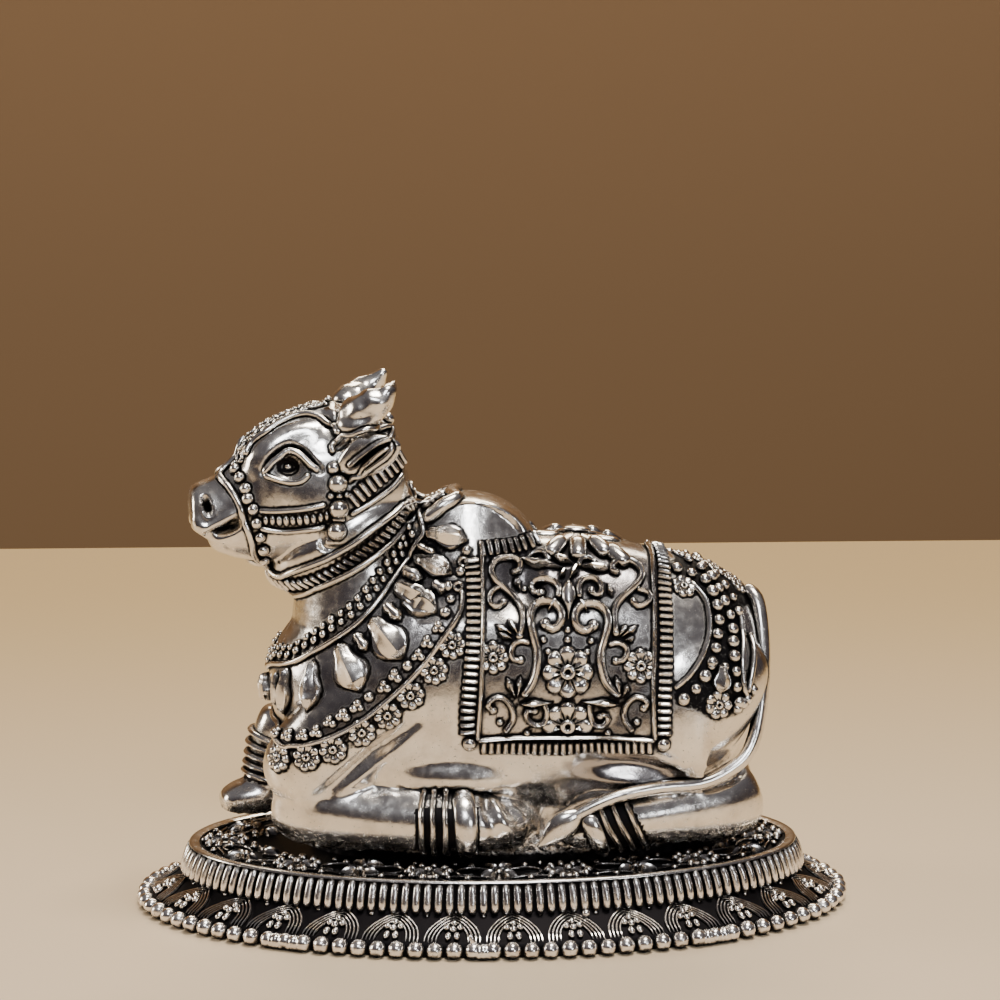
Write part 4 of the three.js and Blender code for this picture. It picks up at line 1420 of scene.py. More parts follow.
# %% The forehead band
FOREHEAD_ROWS_PX = [
    [(235, 464), (240, 452), (248, 441), (260, 430), (275, 419), (291, 410.5), (306, 406.5), (320, 406)],
    [(231, 461), (237, 448), (246, 437), (259, 425), (274, 413), (291, 404.5), (308, 401.5), (322, 402)],
]
for side in SIDES:
    for n, pixels in enumerate(FOREHEAD_ROWS_PX):
        line = head_skin.route(pixels, side)
        for i, (_, place, out, ahead) in enumerate(row(head_skin, line, 1.15)):
            lean = 0.7 if (i + n) % 2 else -0.7
            ahead = Matrix.Rotation(lean + chance.uniform(-0.3, 0.3), 3, out) @ ahead
            stamp(ornament, SEED, basis(place + out * 0.1, ahead, out, (0.85, 0.33, 0.42)))
            stamp(ornament, SEED, basis(place + out * 0.25 + ahead * 0.5, ahead, out, (0.34, 0.3, 0.34)))
        cord(ornament, head_skin, line, 0.24, rise=0.4)

# %% [markdown]
# ## Collar and pectoral
# Round the throat lies a collar: two cords with slanted ribs between. Below it hangs a broad pectoral of
# peepal leaves between two cords, with pairs of beads above and scalloped flowers below. Cords that go
# right round the neck are drawn as seen on the near side, mirrored, and joined at the middle.

# %% Collar
COLLAR_UPPER_PX = [(277, 574.5), (293, 571), (310, 565), (341, 551), (371, 530), (394, 513), (405, 504)]
COLLAR_LOWER_PX = [(291, 593), (303, 592.5), (325.5, 585), (356, 569.5), (383.5, 548.5), (402, 527)]
COLLAR_RIBS_PX = [
    (285, 582.5), (297, 583.5), (318, 577.5), (341, 566), (364, 550), (386.5, 531.5), (400.5, 516),
    (406.5, 506),
]
COLLAR_PUSHES = ((-5, 0, -1), (5, 0, 2))  # how the throat and the nape stand out
pectoral = bmesh.new()
for pixels in (COLLAR_UPPER_PX, COLLAR_LOWER_PX):
    cord(pectoral, whole_skin, round_route(whole_skin, pixels, *COLLAR_PUSHES), 0.5, flat=1.2, rise=0.5)
collar_middle = round_route(whole_skin, COLLAR_RIBS_PX, *COLLAR_PUSHES)
bars(pectoral, whole_skin, collar_middle, pitch=1.12, length=2.2, half=0.42, high=0.7, lean=0.45)

# %% The pectoral's cords, beads and flowers
UPPER_CORD_PX = [
    (274, 664), (286, 664), (300, 660), (325, 646), (352, 628), (371, 610), (387, 589), (405, 564),
    (418, 542), (424, 529),
]
LOWER_CORD_PX = [
    (280, 744), (292, 746), (307, 745), (334, 736), (361, 721), (387, 701), (414, 676), (436, 649),
    (457, 619), (463, 602), (461.5, 590),
]
PAIR_LINE_PX = [
    (279.5, 651), (289, 652), (297.5, 648), (307, 642), (316, 636.5), (327, 628), (337.5, 620.5),
    (350, 611.5), (362.5, 599), (371.5, 588.5), (380.5, 576), (391, 561), (401, 546), (411, 531),
]
CLUSTERS_PX = [
    (278.5, 734), (289.5, 736), (303.5, 736), (317, 732), (330.5, 722.5), (343.5, 716), (357, 707),
    (384, 687), (395.5, 676), (418, 656.5), (427.5, 643), (438.5, 628.5),
]
FLOWERS_PX = [
    (279, 758), (307, 757), (333, 749.5), (361.5, 732.5), (387.5, 715.5), (410.5, 695.5), (434, 670.5),
    (452, 645.5),
]
FLOWER_SIZE = 2.1
PAIR_PITCH = 1.75
SMALL_RINGS_PX = [(458.5, 587), (463.5, 562)]
NAPE_ROLL_PX = [(457, 498), (447, 503), (436, 511), (424, 521)]


def across_route(skin, pixels, push):
    """An open line from the near side, across the middle, to its mirror image"""
    near = [skin.seen(pixel) for pixel in pixels]
    middle = skin.onto((near[0] + skin.flip @ near[0]) / 2 + Vector(push))[0]
    return Route(list(reversed(near)) + [middle] + [skin.flip @ place for place in near])


def bead_ring(piece, skin, pixel, side, radius, thick):
    """A small ring lying on the skin"""
    place, out = skin.onto(skin.seen(pixel, side))
    ahead = (UP - out * UP.dot(out)).normalized()
    ring = [place + Matrix.Rotation(2 * math.pi * i / 12, 3, out) @ (ahead * radius) for i in range(13)]
    spots = [(spot + out * thick * 0.5, out) for spot in ring]
    sweep(piece, spots, even_section(thick, thick * 1.3), closed=True)


def bead_pairs(line, slant):
    """Pairs of small beads side by side along a line"""
    for _, place, out, ahead in row(body_skin, line, PAIR_PITCH):
        across = Matrix.Rotation(math.pi / 2 + slant, 3, out) @ ahead.normalized()
        for way in (-1, 1):
            size = 0.56 * chance.uniform(0.85, 1.1)
            spot = place + across * 0.62 * way + out * 0.3
            stamp(pectoral, SEED, basis(spot, across, out, (size * 1.15, size, size * 1.1)))


upper_cord = round_route(body_skin, UPPER_CORD_PX, (-8, 0, 0), (-4, 0, 6))
lower_cord = across_route(body_skin, LOWER_CORD_PX, (-8, 0, 0))
nape_roll = across_route(body_skin, NAPE_ROLL_PX, (-1, 0, 1))
cord(pectoral, body_skin, nape_roll, 1.05, flat=0.9, rise=0.15, sides=14)
cord(pectoral, body_skin, upper_cord, FINE_CORD, flat=1.2, rise=0.6)
cord(pectoral, body_skin, lower_cord, FINE_CORD, flat=1.3, rise=0.6)

breast = [body_skin.seen(PAIR_LINE_PX[0], side) for side in SIDES]
breast.insert(1, body_skin.onto((breast[0] + breast[1]) / 2 + Vector((-8, 0, 0)))[0])
bead_pairs(Route([Route(breast).at(share) for share in (0.16, 0.5, 0.84)]), 0)
for side in SIDES:
    bead_pairs(body_skin.route(PAIR_LINE_PX, side), 0.5 * side)
    for pixel in CLUSTERS_PX:
        place, out = body_skin.onto(body_skin.seen(pixel, side))
        for n in range(3):
            ahead = Matrix.Rotation(2 * math.pi * n / 3 + chance.uniform(-0.3, 0.3), 3, out) @ UP
            size = chance.uniform(0.5, 0.68)
            spot = place + ahead * 0.55 + out * 0.25
            stamp(pectoral, SEED, basis(spot, ahead, out, (size, size, size)))
    for pixel in FLOWERS_PX:
        flower(pectoral, body_skin, pixel, FLOWER_SIZE, side, pattern=FLOWER, turn=chance.uniform(0, 1))
    for pixel in SMALL_RINGS_PX:
        bead_ring(pectoral, body_skin, pixel, side, radius=0.62, thick=0.3)

# %% The pectoral's leaves
PEEPAL_LEAVES_PX = [  # stem, tip, half width, height
    ((278, 672), (277, 706), 1.1, 0.45), ((289.5, 667), (285, 715), 1.5, 0.8),
    ((315, 660), (307, 712), 1.95, 1.2), ((340, 643), (361, 692), 2.85, 1.5),
    ((371, 618), (404, 660), 2.9, 1.5), ((394, 587), (438, 613.5), 2.5, 1.5),
    ((415, 557.5), (454, 574), 1.85, 1.4), ((425.5, 533.5), (468, 541), 2.05, 1.4),
]
TIP_BEADS_PX = [
    ((369, 697), 0.75), ((407.5, 666), 0.8), ((445.5, 613.5), 0.85), ((460.5, 572.5), 0.8),
    ((466.5, 551), 0.75), ((448, 587), 0.8), ((451, 600), 0.7),
]
BUDS_PX = [
    ((356.5, 634), (368, 651), 1.1), ((385, 605), (401, 621), 1.2), ((404, 571), (419, 582), 1.25),
    ((419, 546), (437, 555), 0.9), ((433, 583), (447, 592), 1.2),
]
BUD_WIDTHS = [0, 0.7, 0.85, 0.75, 0.9, 1, 0.8, 0]
BREAST_LEAF = [Vector((-45, 0, 36.6)), Vector((-45, 0, 28.6))]
leaf(pectoral, body_skin, Route([body_skin.onto(place)[0] for place in BREAST_LEAF]), half=2.0, high=0.9)
for side in SIDES:
    for start, tip, half, high in PEEPAL_LEAVES_PX:
        leaf(pectoral, body_skin, body_skin.route([start, tip], side), half, high)
    for start, tip, half in BUDS_PX:
        line = body_skin.route([start, tip], side)
        leaf(pectoral, body_skin, line, half, high=0.9, sides=10, rim=0.0, widths=BUD_WIDTHS)
    for pixel, radius in TIP_BEADS_PX:
        bead(pectoral, body_skin, pixel, radius, side)

# %% [markdown]
# ## Saddle cloth
# The cloth that lies over the back is a window of dark ground, framed by a thin rail and a border of
# short ribs. In it grow scrolls in pairs, two large and two small flowers, and small leaves. Each scroll
# is a round cord along a few points, and curls in at its end.

# %% The cloth's frame
RAILS_PX = [
    [
        (481.5, 549), (482, 579.5), (482.5, 609.5), (482.5, 636), (482, 662.5), (480.5, 696),
        (478.5, 722.5), (477.5, 739.5),
    ],
    [
        (647.5, 539), (651, 555), (652, 579.5), (654, 613), (654, 646), (653.5, 679), (654, 712.5),
        (655, 740),
    ],
    [(477.5, 739.5), (519.5, 737), (566, 736.5), (610.5, 737.5), (655, 740)],
]
RIBS_PX = [  # pixels, length of a rib
    ([
        (471.5, 560.5), (473.5, 579.5), (474, 606.5), (473.5, 636), (471.5, 666), (469, 696),
        (467.5, 715.5), (468, 731.5),
    ], 2.3),
    ([
        (659, 541.5), (662.5, 563), (663.5, 588), (665, 613), (665.5, 646), (665.5, 679), (664.5, 709),
        (664, 733),
    ], 2.1),
    ([(484, 746.5), (519.5, 747), (566, 747.5), (610.5, 747), (649.5, 746.5)], 2.0),
    ([(482, 549.5), (491.5, 548), (503, 547.5), (514.5, 545.5), (525, 542.5), (534, 539.5)], 2.5),
]
RIB_PITCH = 1.08
RIB_HALF = 0.45
KNOBS_PX = [(469.5, 743), (663, 744)]
cloth = bmesh.new()
for side in SIDES:
    for pixels in RAILS_PX:
        cord(cloth, body_skin, body_skin.route(pixels, side), 0.38, flat=1.7, rise=0.9)
    for pixels, length in RIBS_PX:
        line = body_skin.route(pixels, side)
        bars(cloth, body_skin, line, RIB_PITCH, length, RIB_HALF, high=0.75, rise=0.2)
    for pixel in KNOBS_PX:
        bead(cloth, body_skin, pixel, 1.0, side)

# %% The cloth's scrolls
SCROLLS_PX = [  # half thickness, pixels
    (0.5, [
        (510.5, 572.5), (518, 571.5), (519, 564), (513, 558.5), (503, 558), (494, 561.5),
        (490.5, 571.5), (494.5, 581.5), (506, 592), (516, 601.5), (522, 611), (523, 623), (519.5, 636),
    ]),
    (0.5, [
        (619, 573.5), (612.5, 573), (611.5, 567.5), (618, 563), (629, 563), (639, 569), (641, 578),
        (634, 588), (622.5, 598), (615.5, 606.5), (613.5, 618), (615.5, 633),
    ]),
    (0.42, [(499.5, 587), (491.5, 592), (488.5, 599.5), (491.5, 606.5), (499, 607.5), (503, 603)]),
    (0.42, [(635.5, 590), (648, 594), (649.5, 600.5), (644, 605.5), (635.5, 606.5), (633, 601.5)]),
    (0.62, [
        (522, 696), (531, 684), (536, 669.5), (537, 652.5), (533, 636), (530, 619.5), (534.5, 608),
        (544.5, 602.5), (556, 605.5), (562, 615.5), (559, 625.5), (551, 629.5), (545, 624.5),
    ]),
    (0.62, [
        (620, 696), (607.5, 684), (601.5, 669.5), (600.5, 652.5), (605, 636), (608, 620.5),
        (602.5, 609), (591.5, 604.5), (580, 607), (574, 617), (576.5, 627), (586, 631.5), (593.5, 626),
    ]),
    (0.5, [
        (558.5, 599.5), (558, 587), (548.5, 580.5), (537.5, 582), (533, 588), (536, 594), (542, 594),
    ]),
    (0.5, [
        (579, 599.5), (578.5, 587), (583.5, 580.5), (592.5, 579.5), (600, 585.5), (600.5, 594.5),
        (593.5, 596.5), (591, 591.5),
    ]),
    (0.42, [(530.5, 643.5), (521, 641), (513, 645), (511, 653.5), (513, 659.5), (520.5, 660)]),
    (0.42, [(607.5, 645), (617.5, 643), (625.5, 647), (626.5, 654.5), (621.5, 661), (615.5, 661)]),
    (0.42, [
        (504.5, 731.5), (513, 719), (511, 706), (502, 697), (491.5, 699), (487.5, 706), (493, 710),
    ]),
    (0.42, [
        (633, 731.5), (625, 719), (625.5, 706), (634.5, 697), (644, 699), (648.5, 704), (644, 708),
    ]),
    (0.42, [
        (543.5, 702.5), (547, 712.5), (543.5, 722.5), (534.5, 724), (527, 718), (526, 710.5),
        (534.5, 710),
    ]),
    (0.42, [(589, 702.5), (590, 714), (594, 724), (602.5, 725), (608, 718), (604, 713), (600, 715.5)]),
    (0.4, [(578.5, 568), (580, 561.5), (587.5, 559.5), (594, 563)]),
    (0.4, [(526, 561.5), (533, 555), (542.5, 553), (548.5, 560)]),
]
BLADES_PX = [  # stem, tip, half width
    ((516, 558), (567, 571), 0.75), ((609, 571.5), (578.5, 567.5), 0.65),
    ((519.5, 703.5), (552, 702.5), 0.7), ((620, 703.5), (581.5, 701.5), 0.7),
    ((568, 579), (568, 622), 1.5), ((577, 567), (569, 581), 0.6), ((560, 579), (566, 570), 0.5),
    ((552, 559), (573, 565), 0.7), ((557, 600), (548, 612), 0.6), ((578, 600), (587, 612), 0.6),
    ((507, 677.5), (515.5, 697.5), 0.65), ((520.5, 676), (517, 697.5), 0.65),
    ((615.5, 676), (620, 697.5), 0.65), ((627.5, 683.5), (621.5, 697.5), 0.65),
    ((495.5, 625.5), (513, 636), 0.6), ((508, 620.5), (518, 636), 0.6), ((498, 633), (513, 640), 0.6),
    ((626.5, 625.5), (618, 637), 0.6), ((637, 626), (620.5, 638), 0.6), ((634, 638), (623, 641), 0.6),
    ((514.5, 578), (520, 592), 0.6), ((611.5, 597), (606, 584), 0.6),
]
CLOTH_FLOWERS_PX = [
    ((567.5, 672), 3.85, FLOWER), ((567.5, 725.5), 3.75, CUT_FLOWER), ((493, 657.5), 2.45, FLOWER),
    ((640.5, 666), 2.6, FLOWER),
]
CLOTH_BEADS_PX = [
    (524.5, 590), (543, 640), (591, 641), (555, 690), (580, 690), (548, 652), (587, 652), (567.5, 640),
    (567.5, 630), (500, 722), (637, 722), (527, 733), (608, 733),
]
DROP_WIDTHS = [0, 0.4, 0.75, 1, 0.9, 0.6, 0.35, 0.2, 0]
for side in SIDES:
    for thick, pixels in SCROLLS_PX:
        cord(cloth, body_skin, body_skin.route(pixels, side), thick, flat=1.5, rise=0.9, step=0.7)
        bead(cloth, body_skin, pixels[-1], thick * 1.35, side, rise=0.5)
    for stem, tip, half in BLADES_PX:
        line = body_skin.route([stem, tip], side)
        leaf(cloth, body_skin, line, half, high=0.95, sides=10, rim=0.0, widths=DROP_WIDTHS)
    for pixel, radius, pattern in CLOTH_FLOWERS_PX:
        flower(cloth, body_skin, pixel, radius, side, pattern, high=0.75)
    for pixel in CLOTH_BEADS_PX:
        bead(cloth, body_skin, pixel, 0.5, side)

# %% The large flower on the ridge of the back
RIDGE_FLOWER = Vector((12.6, 0, 57.5))
RIDGE_DISC = (2.1, 1.5, 0.55)
RIDGE_PETALS_PX = [(555.5, 549), (577.5, 551), (599, 549), (617, 558)]
PETAL_BLOCK = kept(ball(14, 10, blunt=3.2), "petal block")
top, out = body_skin.onto(RIDGE_FLOWER)
for side in SIDES:
    for pixel in RIDGE_PETALS_PX:
        place, facing = body_skin.onto(body_skin.seen(pixel, side), 2.0)
        stamp(cloth, PETAL_BLOCK, basis(place + facing * 0.5, place - top, facing, (2.3, 1.4, 1.2)))
        place, facing = body_skin.onto(top.lerp(place, 0.5))
        stamp(cloth, PETAL_BLOCK, basis(place + facing * 0.1, place - top, facing, (2.7, 1.2, 0.6)))
for ahead in (TAILWARD * -4.6, TAILWARD * 4.8):
    place, facing = body_skin.onto(RIDGE_FLOWER + ahead)
    stamp(cloth, PETAL_BLOCK, basis(place - facing * 0.1, ahead, facing, (1.9, 1.3, 0.6)))
stamp(cloth, PEARL, basis(top + out * 0.9, TAILWARD, out, RIDGE_DISC))

# %% [markdown]
# ## Rump ornament
# Behind the cloth hangs a net of beads. A plain polished moon lies in it, with a beaded rim, and two
# straps run down beside the tail. Small flowers stand along the ridge, and a leaf and a
# flower hang at the bottom.

# %% The rump's net
MOON_RIM_PX = [
    (690, 583), (697.5, 591), (705, 601), (708, 613), (708.5, 634), (704.5, 650), (698, 664),
    (688, 677.5), (674, 689),
]
BEAD_ROWS_PX = [  # radius, pixels
    (0.92, [
        (676, 570), (690, 574.5), (702, 579), (707, 588), (713.5, 597.5), (716, 609.5), (717.5, 624.5),
        (716, 639.5), (713.5, 657.5), (706, 673.5), (696.5, 688), (683.5, 699),
    ]),
    (0.88, [
        (700, 569), (708, 576), (716, 587), (723.5, 604), (729, 617.5), (731, 631.5), (732, 650),
        (734.5, 669.5), (735.5, 685.5), (737.5, 702),
    ]),
    (0.7, [(688, 561), (699, 565.5), (712, 574.5), (722, 585), (731, 597), (737, 612)]),
]
BEAD_STEP = 2.25
CRUPPER_PX = [
    [(738, 609), (741, 633), (741.5, 659), (742, 683), (745.5, 697)],
    [(748.5, 634), (752.5, 650), (750.5, 674), (746, 693)],
]
RUMP_FLOWERS_PX = [
    ((683.5, 587), 1.9), ((718, 704.5), 2.15), ((682.5, 553), 1.6), ((701, 560.5), 1.5),
    ((716, 570), 1.5), ((738, 586), 1.6), ((728, 577), 1.3),
]
RUMP_LEAF_PX = ((721, 664), (718.5, 694))
STRAP_END_BEADS_PX = [
    ((741, 703), 0.9), ((746, 699), 0.8), ((736, 708), 0.8), ((752, 690), 0.8), ((711, 667), 0.7),
    ((724, 667), 0.7), ((712, 661), 0.7),
]
net = bmesh.new()
for side in SIDES:
    cord(net, body_skin, body_skin.route(MOON_RIM_PX, side), FINE_CORD, flat=1.3, rise=0.6)
    for radius, pixels in BEAD_ROWS_PX:
        line = body_skin.route(pixels, side)
        beads(net, body_skin, line, BEAD_STEP, radius, rise=0.4, pattern=PEARL, vary=0.12)
    for pixels in CRUPPER_PX:
        cord(net, body_skin, body_skin.route(pixels, side), 0.45, flat=1.2, rise=0.6)
    for pixel, radius in RUMP_FLOWERS_PX:
        flower(net, body_skin, pixel, radius, side, pattern=SMALL_FLOWER, turn=chance.uniform(0, 1))
    leaf(net, body_skin, body_skin.route(RUMP_LEAF_PX, side), half=1.5, high=1.2)
    for pixel, radius in STRAP_END_BEADS_PX:
        bead(net, body_skin, pixel, radius, side)

# %% [markdown]
# ## Anklets, hooves and tail
# Each folded leg wears three rings and a broad cuff, and the raised one wears five rings. They are
# rounded bars bent over the leg. The tail hangs from the rump, turns forward over the hind leg, and
# ends in a plain tuft.

# %% Anklets
NEAR_SIDE = (-1,)
ANKLETS_PX = [  # half thickness, sides, pixels
    (0.47, NEAR_SIDE, [(425, 788.5), (422.5, 800), (421.5, 815), (422, 832), (425, 853)]),
    (0.47, NEAR_SIDE, [(434.5, 787.5), (433.5, 800), (432.5, 815), (433.5, 832), (436, 854)]),
    (0.47, NEAR_SIDE, [(446, 787.5), (445.5, 800), (445, 815), (446, 832), (448, 854)]),
    (0.45, SIDES, [(597.5, 803), (602, 815), (608.5, 829), (617, 841), (625.5, 852)]),
    (0.45, SIDES, [(608.5, 799), (613.5, 811), (620, 825), (628.5, 838), (637, 850)]),
    (0.45, SIDES, [(620.5, 794.5), (626.5, 808), (633.5, 823), (641, 837), (648, 849)]),
]
CUFFS_PX = [  # half width, sides, pixels
    (1.75, NEAR_SIDE, [(461, 788), (463, 800), (465, 815), (466.5, 835), (468, 857)]),
    (1.3, SIDES, [(587, 814), (591, 824), (596, 835), (601, 847), (607, 858)]),
]
SHANK_RINGS = (0.3, 0.4, 0.5, 0.6, 0.7)  # shares of the raised leg's length
SHANK_RING_POINTS = 16


def cuff_taper(share):
    """A cuff grows narrower towards the plate"""
    return 1 - 0.45 * share ** 3


def tail_taper(share):
    """The tail grows thinner towards its tuft"""
    return 1.1 - 0.25 * share


anklets = bmesh.new()
for thick, sides, pixels in ANKLETS_PX:
    for side in sides:
        cord(anklets, body_skin, body_skin.route(pixels, side), thick, flat=1.5, rise=0.6)
for half, sides, pixels in CUFFS_PX:
    for side in sides:
        line = body_skin.route(pixels, side)
        cord(anklets, body_skin, line, half, flat=0.5, rise=0.2, sides=12, step=0.6, taper=cuff_taper)
for share in SHANK_RINGS:
    place, across, rise, size = along(FAR_FORE_SHANK, share)
    ring = []
    for i in range(SHANK_RING_POINTS):
        turned = level(2 * math.pi * i / SHANK_RING_POINTS)
        ring.append(place + across * turned.x * size.x * 1.1 + rise * turned.y * size.y * 1.1)
    cord(anklets, body_skin, Route(ring, closed=True), 0.5, flat=1.3, rise=0.6)

# %% Tail
TAIL = [
    (38.0, -1, 48.5), (39.8, -3.5, 46.5), (40.3, -7, 38.8), (39.4, -9.8, 30.2), (37.6, -11.8, 25.4),
    (34.4, -13.2, 22.9), (30.2, -14.6, 21.5), (24.1, -16.2, 21.4), (18, -17.5, 20.6),
    (13.2, -18.2, 18.8), (9.5, -18.5, 16.8),
]
TAIL_RADIUS = 1.1
TAIL_OUT = Vector((0.35, -1, 0.45)).normalized()
TUFT = [(12.6, -18.2, 18.6, 0.9, 1.0), (9.4, -18.7, 16.4, 1.2, 2.1), (5.9, -18.9, 13.2, 0.8, 0.7)]
tail_line = Route(TAIL)
tail = bmesh.new()
shares, cap = round_shares(tail_line.length, TAIL_RADIUS, 0.9)
tail_section = bar_section(shares, cap, TAIL_RADIUS, TAIL_RADIUS, tail_taper)
sweep(tail, [(tail_line.at(share), TAIL_OUT) for share in shares], tail_section, sides=14)
tuft = drawn_ball(TUFT, 2.6, sides=24, rings=24)
bmesh.ops.recalc_face_normals(tuft, faces=tuft.faces)
add_part(tail, tuft)

# %% [markdown]
# ## Oxide and painted shade round the ornament
# The blackening bath leaves a dark halo wherever ornament stands on the skin, because the wheel can't
# get close to its walls, and the halo is painted shade at the ornament's foot as well. How near the
# ornament is becomes a number on each point of the two skins, and the finish reads it. Low on the
# body the skin is painted black, a painted shadow between the bull and the plate.

# %% The dark halo
HALO_FULL = 0.15
HALO_END = 0.7
ornaments = {
    "bull_head_ornament": ornament,
    "bull_pectoral": pectoral,
    "bull_saddle_cloth": cloth,
    "bull_rump_net": net,
    "bull_anklets": anklets,
    "bull_tail": tail,
}
# Painted shadow: the skin below these heights is painted black as the shadow under the legs, and round
# the anklets it is black up to their top
PAINTED_SHADOW_HEIGHTS = (11.5, 10.2)  # from bright to black in full
ANKLET_TOP = 19.2
SOFT_EDGE_PX = [(0, 0), (3, 0), (-3, 0), (0, 3), (0, -3)]
RUMP_GROUND_PX = MOON_RIM_PX + [
    (671, 703), (690, 710), (718, 722), (744, 712), (744, 690), (740, 612), (757, 600), (720, 565),
    (672, 545), (672, 572),
]
GROUNDS_AND_SHADE_PX = [  # layer, strength, outline
    ("ground_and_shade", 0.6, UPPER_CORD_PX + LOWER_CORD_PX[::-1]),
    ("ground_and_shade", 0.35, RAILS_PX[0] + RAILS_PX[2] + RAILS_PX[1][::-1]),
    # Partly the cloth's dark ground, partly painted shade that dims the lamps' reflections on the top of
    # the cloth
    ("ground_and_shade", 1.0, [
        (486, 556), (560, 540), (650, 545), (652, 590), (620, 600), (570, 592), (520, 600), (486, 610),
    ]),
    # Painted shade: the skin under the cloth's lower edge is darkened where it would mirror the window
    ("ground_and_shade", 0.85, [
        (562, 762), (600, 756), (642, 756), (670, 766), (692, 779), (655, 785), (600, 787), (566, 778),
    ]),
    ("shade_and_oxide", 0.9, RUMP_GROUND_PX),
]


def inside(pixel, outline):
    """Whether a pixel lies inside an outline"""
    crossed = False
    for (x1, y1), (x2, y2) in zip(outline, outline[1:] + outline[:1]):
        if (y1 > pixel[1]) != (y2 > pixel[1]):
            if pixel[0] < x1 + (x2 - x1) * (pixel[1] - y1) / (y2 - y1):
                crossed = not crossed
    return crossed


halo_trees = [BVHTree.FromBMesh(piece) for piece in ornaments.values()]
anklet_tree = halo_trees[list(ornaments).index("bull_anklets")]
mark_shade_and_oxide(body, [tree for tree in halo_trees if tree is not anklet_tree], full=HALO_FULL, end=HALO_END)
mark_shade_and_oxide(head, halo_trees, full=HALO_FULL, end=HALO_END)
for piece in ornaments.values():
    mark_shade_and_oxide(piece, [whole_skin.tree], full=0.02, end=0.28)
marks = {name: body.verts.layers.float[name] for name in ("ground_and_shade", "shade_and_oxide")}
for vert in body.verts:
    # Painted shadow low under the legs and round the low anklets, kept with the oxide and halo marks
    painted_shadow = part_way(vert.co.z, *PAINTED_SHADOW_HEIGHTS)
    if vert.co.z < ANKLET_TOP and anklet_tree.find_nearest(vert.co, HALO_END)[0]:
        painted_shadow = 1.0
    vert[marks["shade_and_oxide"]] = max(vert[marks["shade_and_oxide"]], painted_shadow)
    near_flip = BODY_FLIP if vert.co.y > 0 else Matrix.Identity(3)
    place, out = near_flip @ vert.co, near_flip @ vert.normal
    if out.dot(CAMERA_PLACE - place) > 0:
        pixel = pixel_of(place)
        near = [(pixel[0] + x, pixel[1] + y) for x, y in SOFT_EDGE_PX]
        for layer, strength, outline in GROUNDS_AND_SHADE_PX:
            share = sum(inside(spot, outline) for spot in near) / len(near)
            vert[marks[layer]] = max(vert[marks[layer]], strength * share)
cast_bull(body, "bull_body")
cast_bull(head, "bull_head")
for name, piece in ornaments.items():
    cast_bull(piece, name)

# %% [markdown]
# ## The stage
# The photograph has a pale table that ends behind the figure, and a plain brown room beyond it. Silver
# shows little of itself: it mirrors that table and room. So the table runs far past the camera, and
# soft lights hang above.

# %% The stage
TABLE_BACK = 0.278
TABLE_FRONT = -1.6
TABLE_HALF_WIDTH = 1.5
BACKDROP_AWAY = 0.75
BACKDROP_FOOT = -0.6
BACKDROP_TOP = 1.4
PAINTED_FALLOFF_SPAN = (-0.08, 0.25)
LIGHTS_AIM = Vector((0, 0, 0.03))


def plain(name, near, far_shaded_colour, roughness):
    """A dull sheet whose colour changes a little from the front to the back, as a painted falloff of
    light
    """
    material = bpy.data.materials.new(name)
    material.use_nodes = True
    tree = material.node_tree
    shader = tree.nodes["Principled BSDF"]
    apart = add_node(tree, "ShaderNodeSeparateXYZ")
    tree.links.new(add_node(tree, "ShaderNodeTexCoord").outputs["Object"], apart.inputs[0])
    painted_falloff = spread(tree, apart.outputs[1], *PAINTED_FALLOFF_SPAN)
    tree.links.new(blended(tree, painted_falloff, near, far_shaded_colour), shader.inputs["Base Color"])
    shader.inputs["Roughness"].default_value = roughness
    return material


def stage_sheet(name, corners, material):
    """A flat sheet of the stage"""
    part = bmesh.new()
    part.faces.new([part.verts.new(corner) for corner in corners])
    mesh = bpy.data.meshes.new(name)
    part.to_mesh(mesh)
    part.free()
    mesh.materials.append(material)
    item = bpy.data.objects.new(name, mesh)
    bpy.context.scene.collection.objects.link(item)
    return item


wide = TABLE_HALF_WIDTH
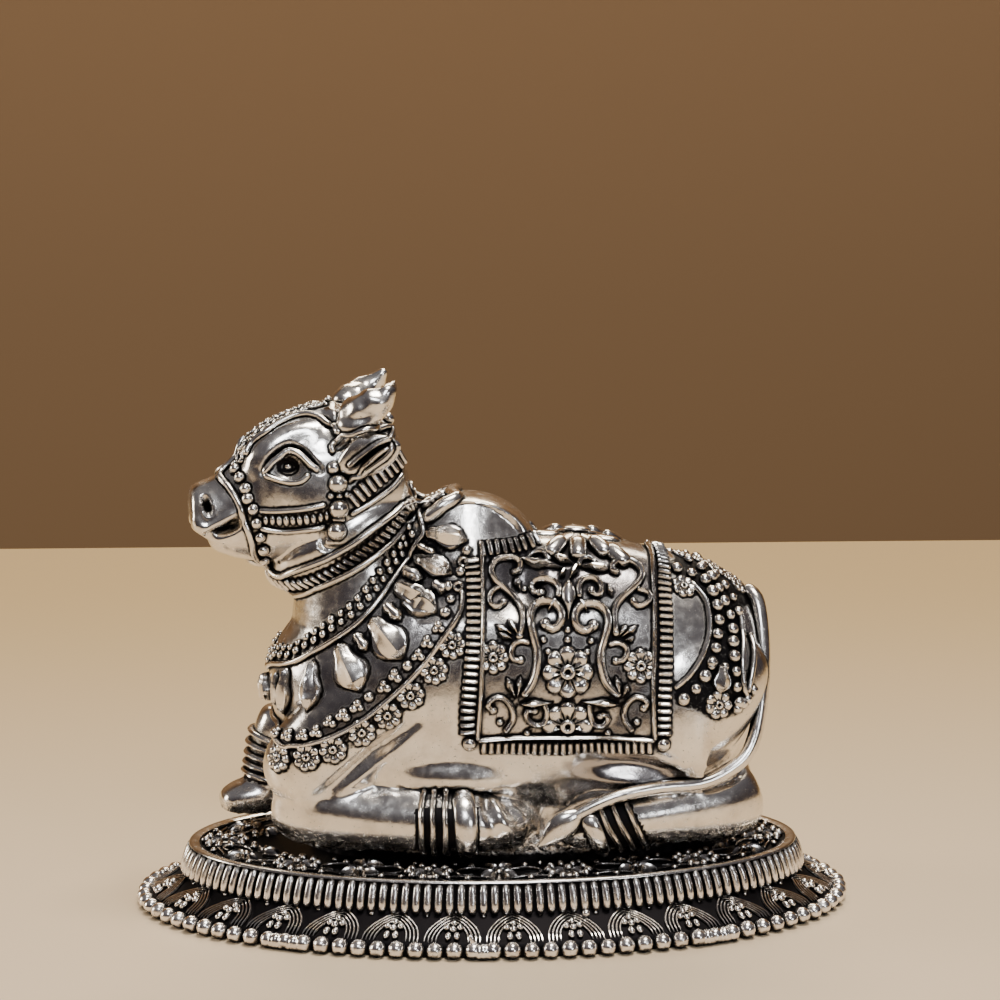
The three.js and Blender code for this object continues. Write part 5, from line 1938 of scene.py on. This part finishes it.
# The table is painted lighter and greyer at the front and darker and yellower at the back: painted
# falloff of the light from the front
stage_sheet("table", [
    (-wide, TABLE_FRONT, 0), (wide, TABLE_FRONT, 0), (wide, TABLE_BACK, 0), (-wide, TABLE_BACK, 0),
], plain("table", (0.79, 0.625, 0.43, 1), (0.55, 0.385, 0.185, 1), 0.5))
stage_sheet("backdrop", [
    (-wide, BACKDROP_AWAY, BACKDROP_FOOT), (wide, BACKDROP_AWAY, BACKDROP_FOOT),
    (wide, BACKDROP_AWAY, BACKDROP_TOP), (-wide, BACKDROP_AWAY, BACKDROP_TOP),
], plain("backdrop", (0.27, 0.16, 0.077, 1), (0.27, 0.16, 0.077, 1), 0.9))


# %% Lights
def softbox(name, place, size, power, colour):
    """A soft square light that faces the figure"""
    data = bpy.data.lights.new(name, "AREA")
    data.shape = "RECTANGLE"
    data.size, data.size_y = size
    data.energy = power
    data.color = colour
    item = bpy.data.objects.new(name, data)
    item.location = place
    item.rotation_euler = (LIGHTS_AIM - Vector(place)).to_track_quat("-Z", "Y").to_euler()
    bpy.context.scene.collection.objects.link(item)
    return item


softbox("window panel", (0.03, -0.82, 0.78), (0.3, 0.22), 3.7, (0.93, 0.96, 1.0))
softbox("side window", (0.5, -0.83, 0.3), (0.14, 0.18), 1.1, (0.93, 0.96, 1.0))
softbox("ceiling lamp", (0.15, -0.1, 1.05), (0.4, 0.3), 10.0, (1.0, 0.93, 0.83))
softbox("back lamp", (0.05, 0.65, 0.75), (0.6, 0.12), 4.0, (1.0, 0.88, 0.68))
softbox("left lamp", (-0.95, 0.1, 0.3), (0.25, 0.35), 4.0, (1.0, 0.90, 0.76))
world = bpy.data.worlds.new("room")
world.use_nodes = True
bpy.context.scene.world = world
room = world.node_tree
rise = add_node(room, "ShaderNodeSeparateXYZ")
room.links.new(add_node(room, "ShaderNodeTexCoord").outputs["Generated"], rise.inputs[0])
overhead = spread(room, rise.outputs["Z"], 0.05, 0.9)
shade = blended(room, overhead, (0.055, 0.045, 0.05, 1), (0.18, 0.17, 0.18, 1))
room.links.new(shade, room.nodes["Background"].inputs["Color"])
room.nodes["Background"].inputs["Strength"].default_value = 0.8
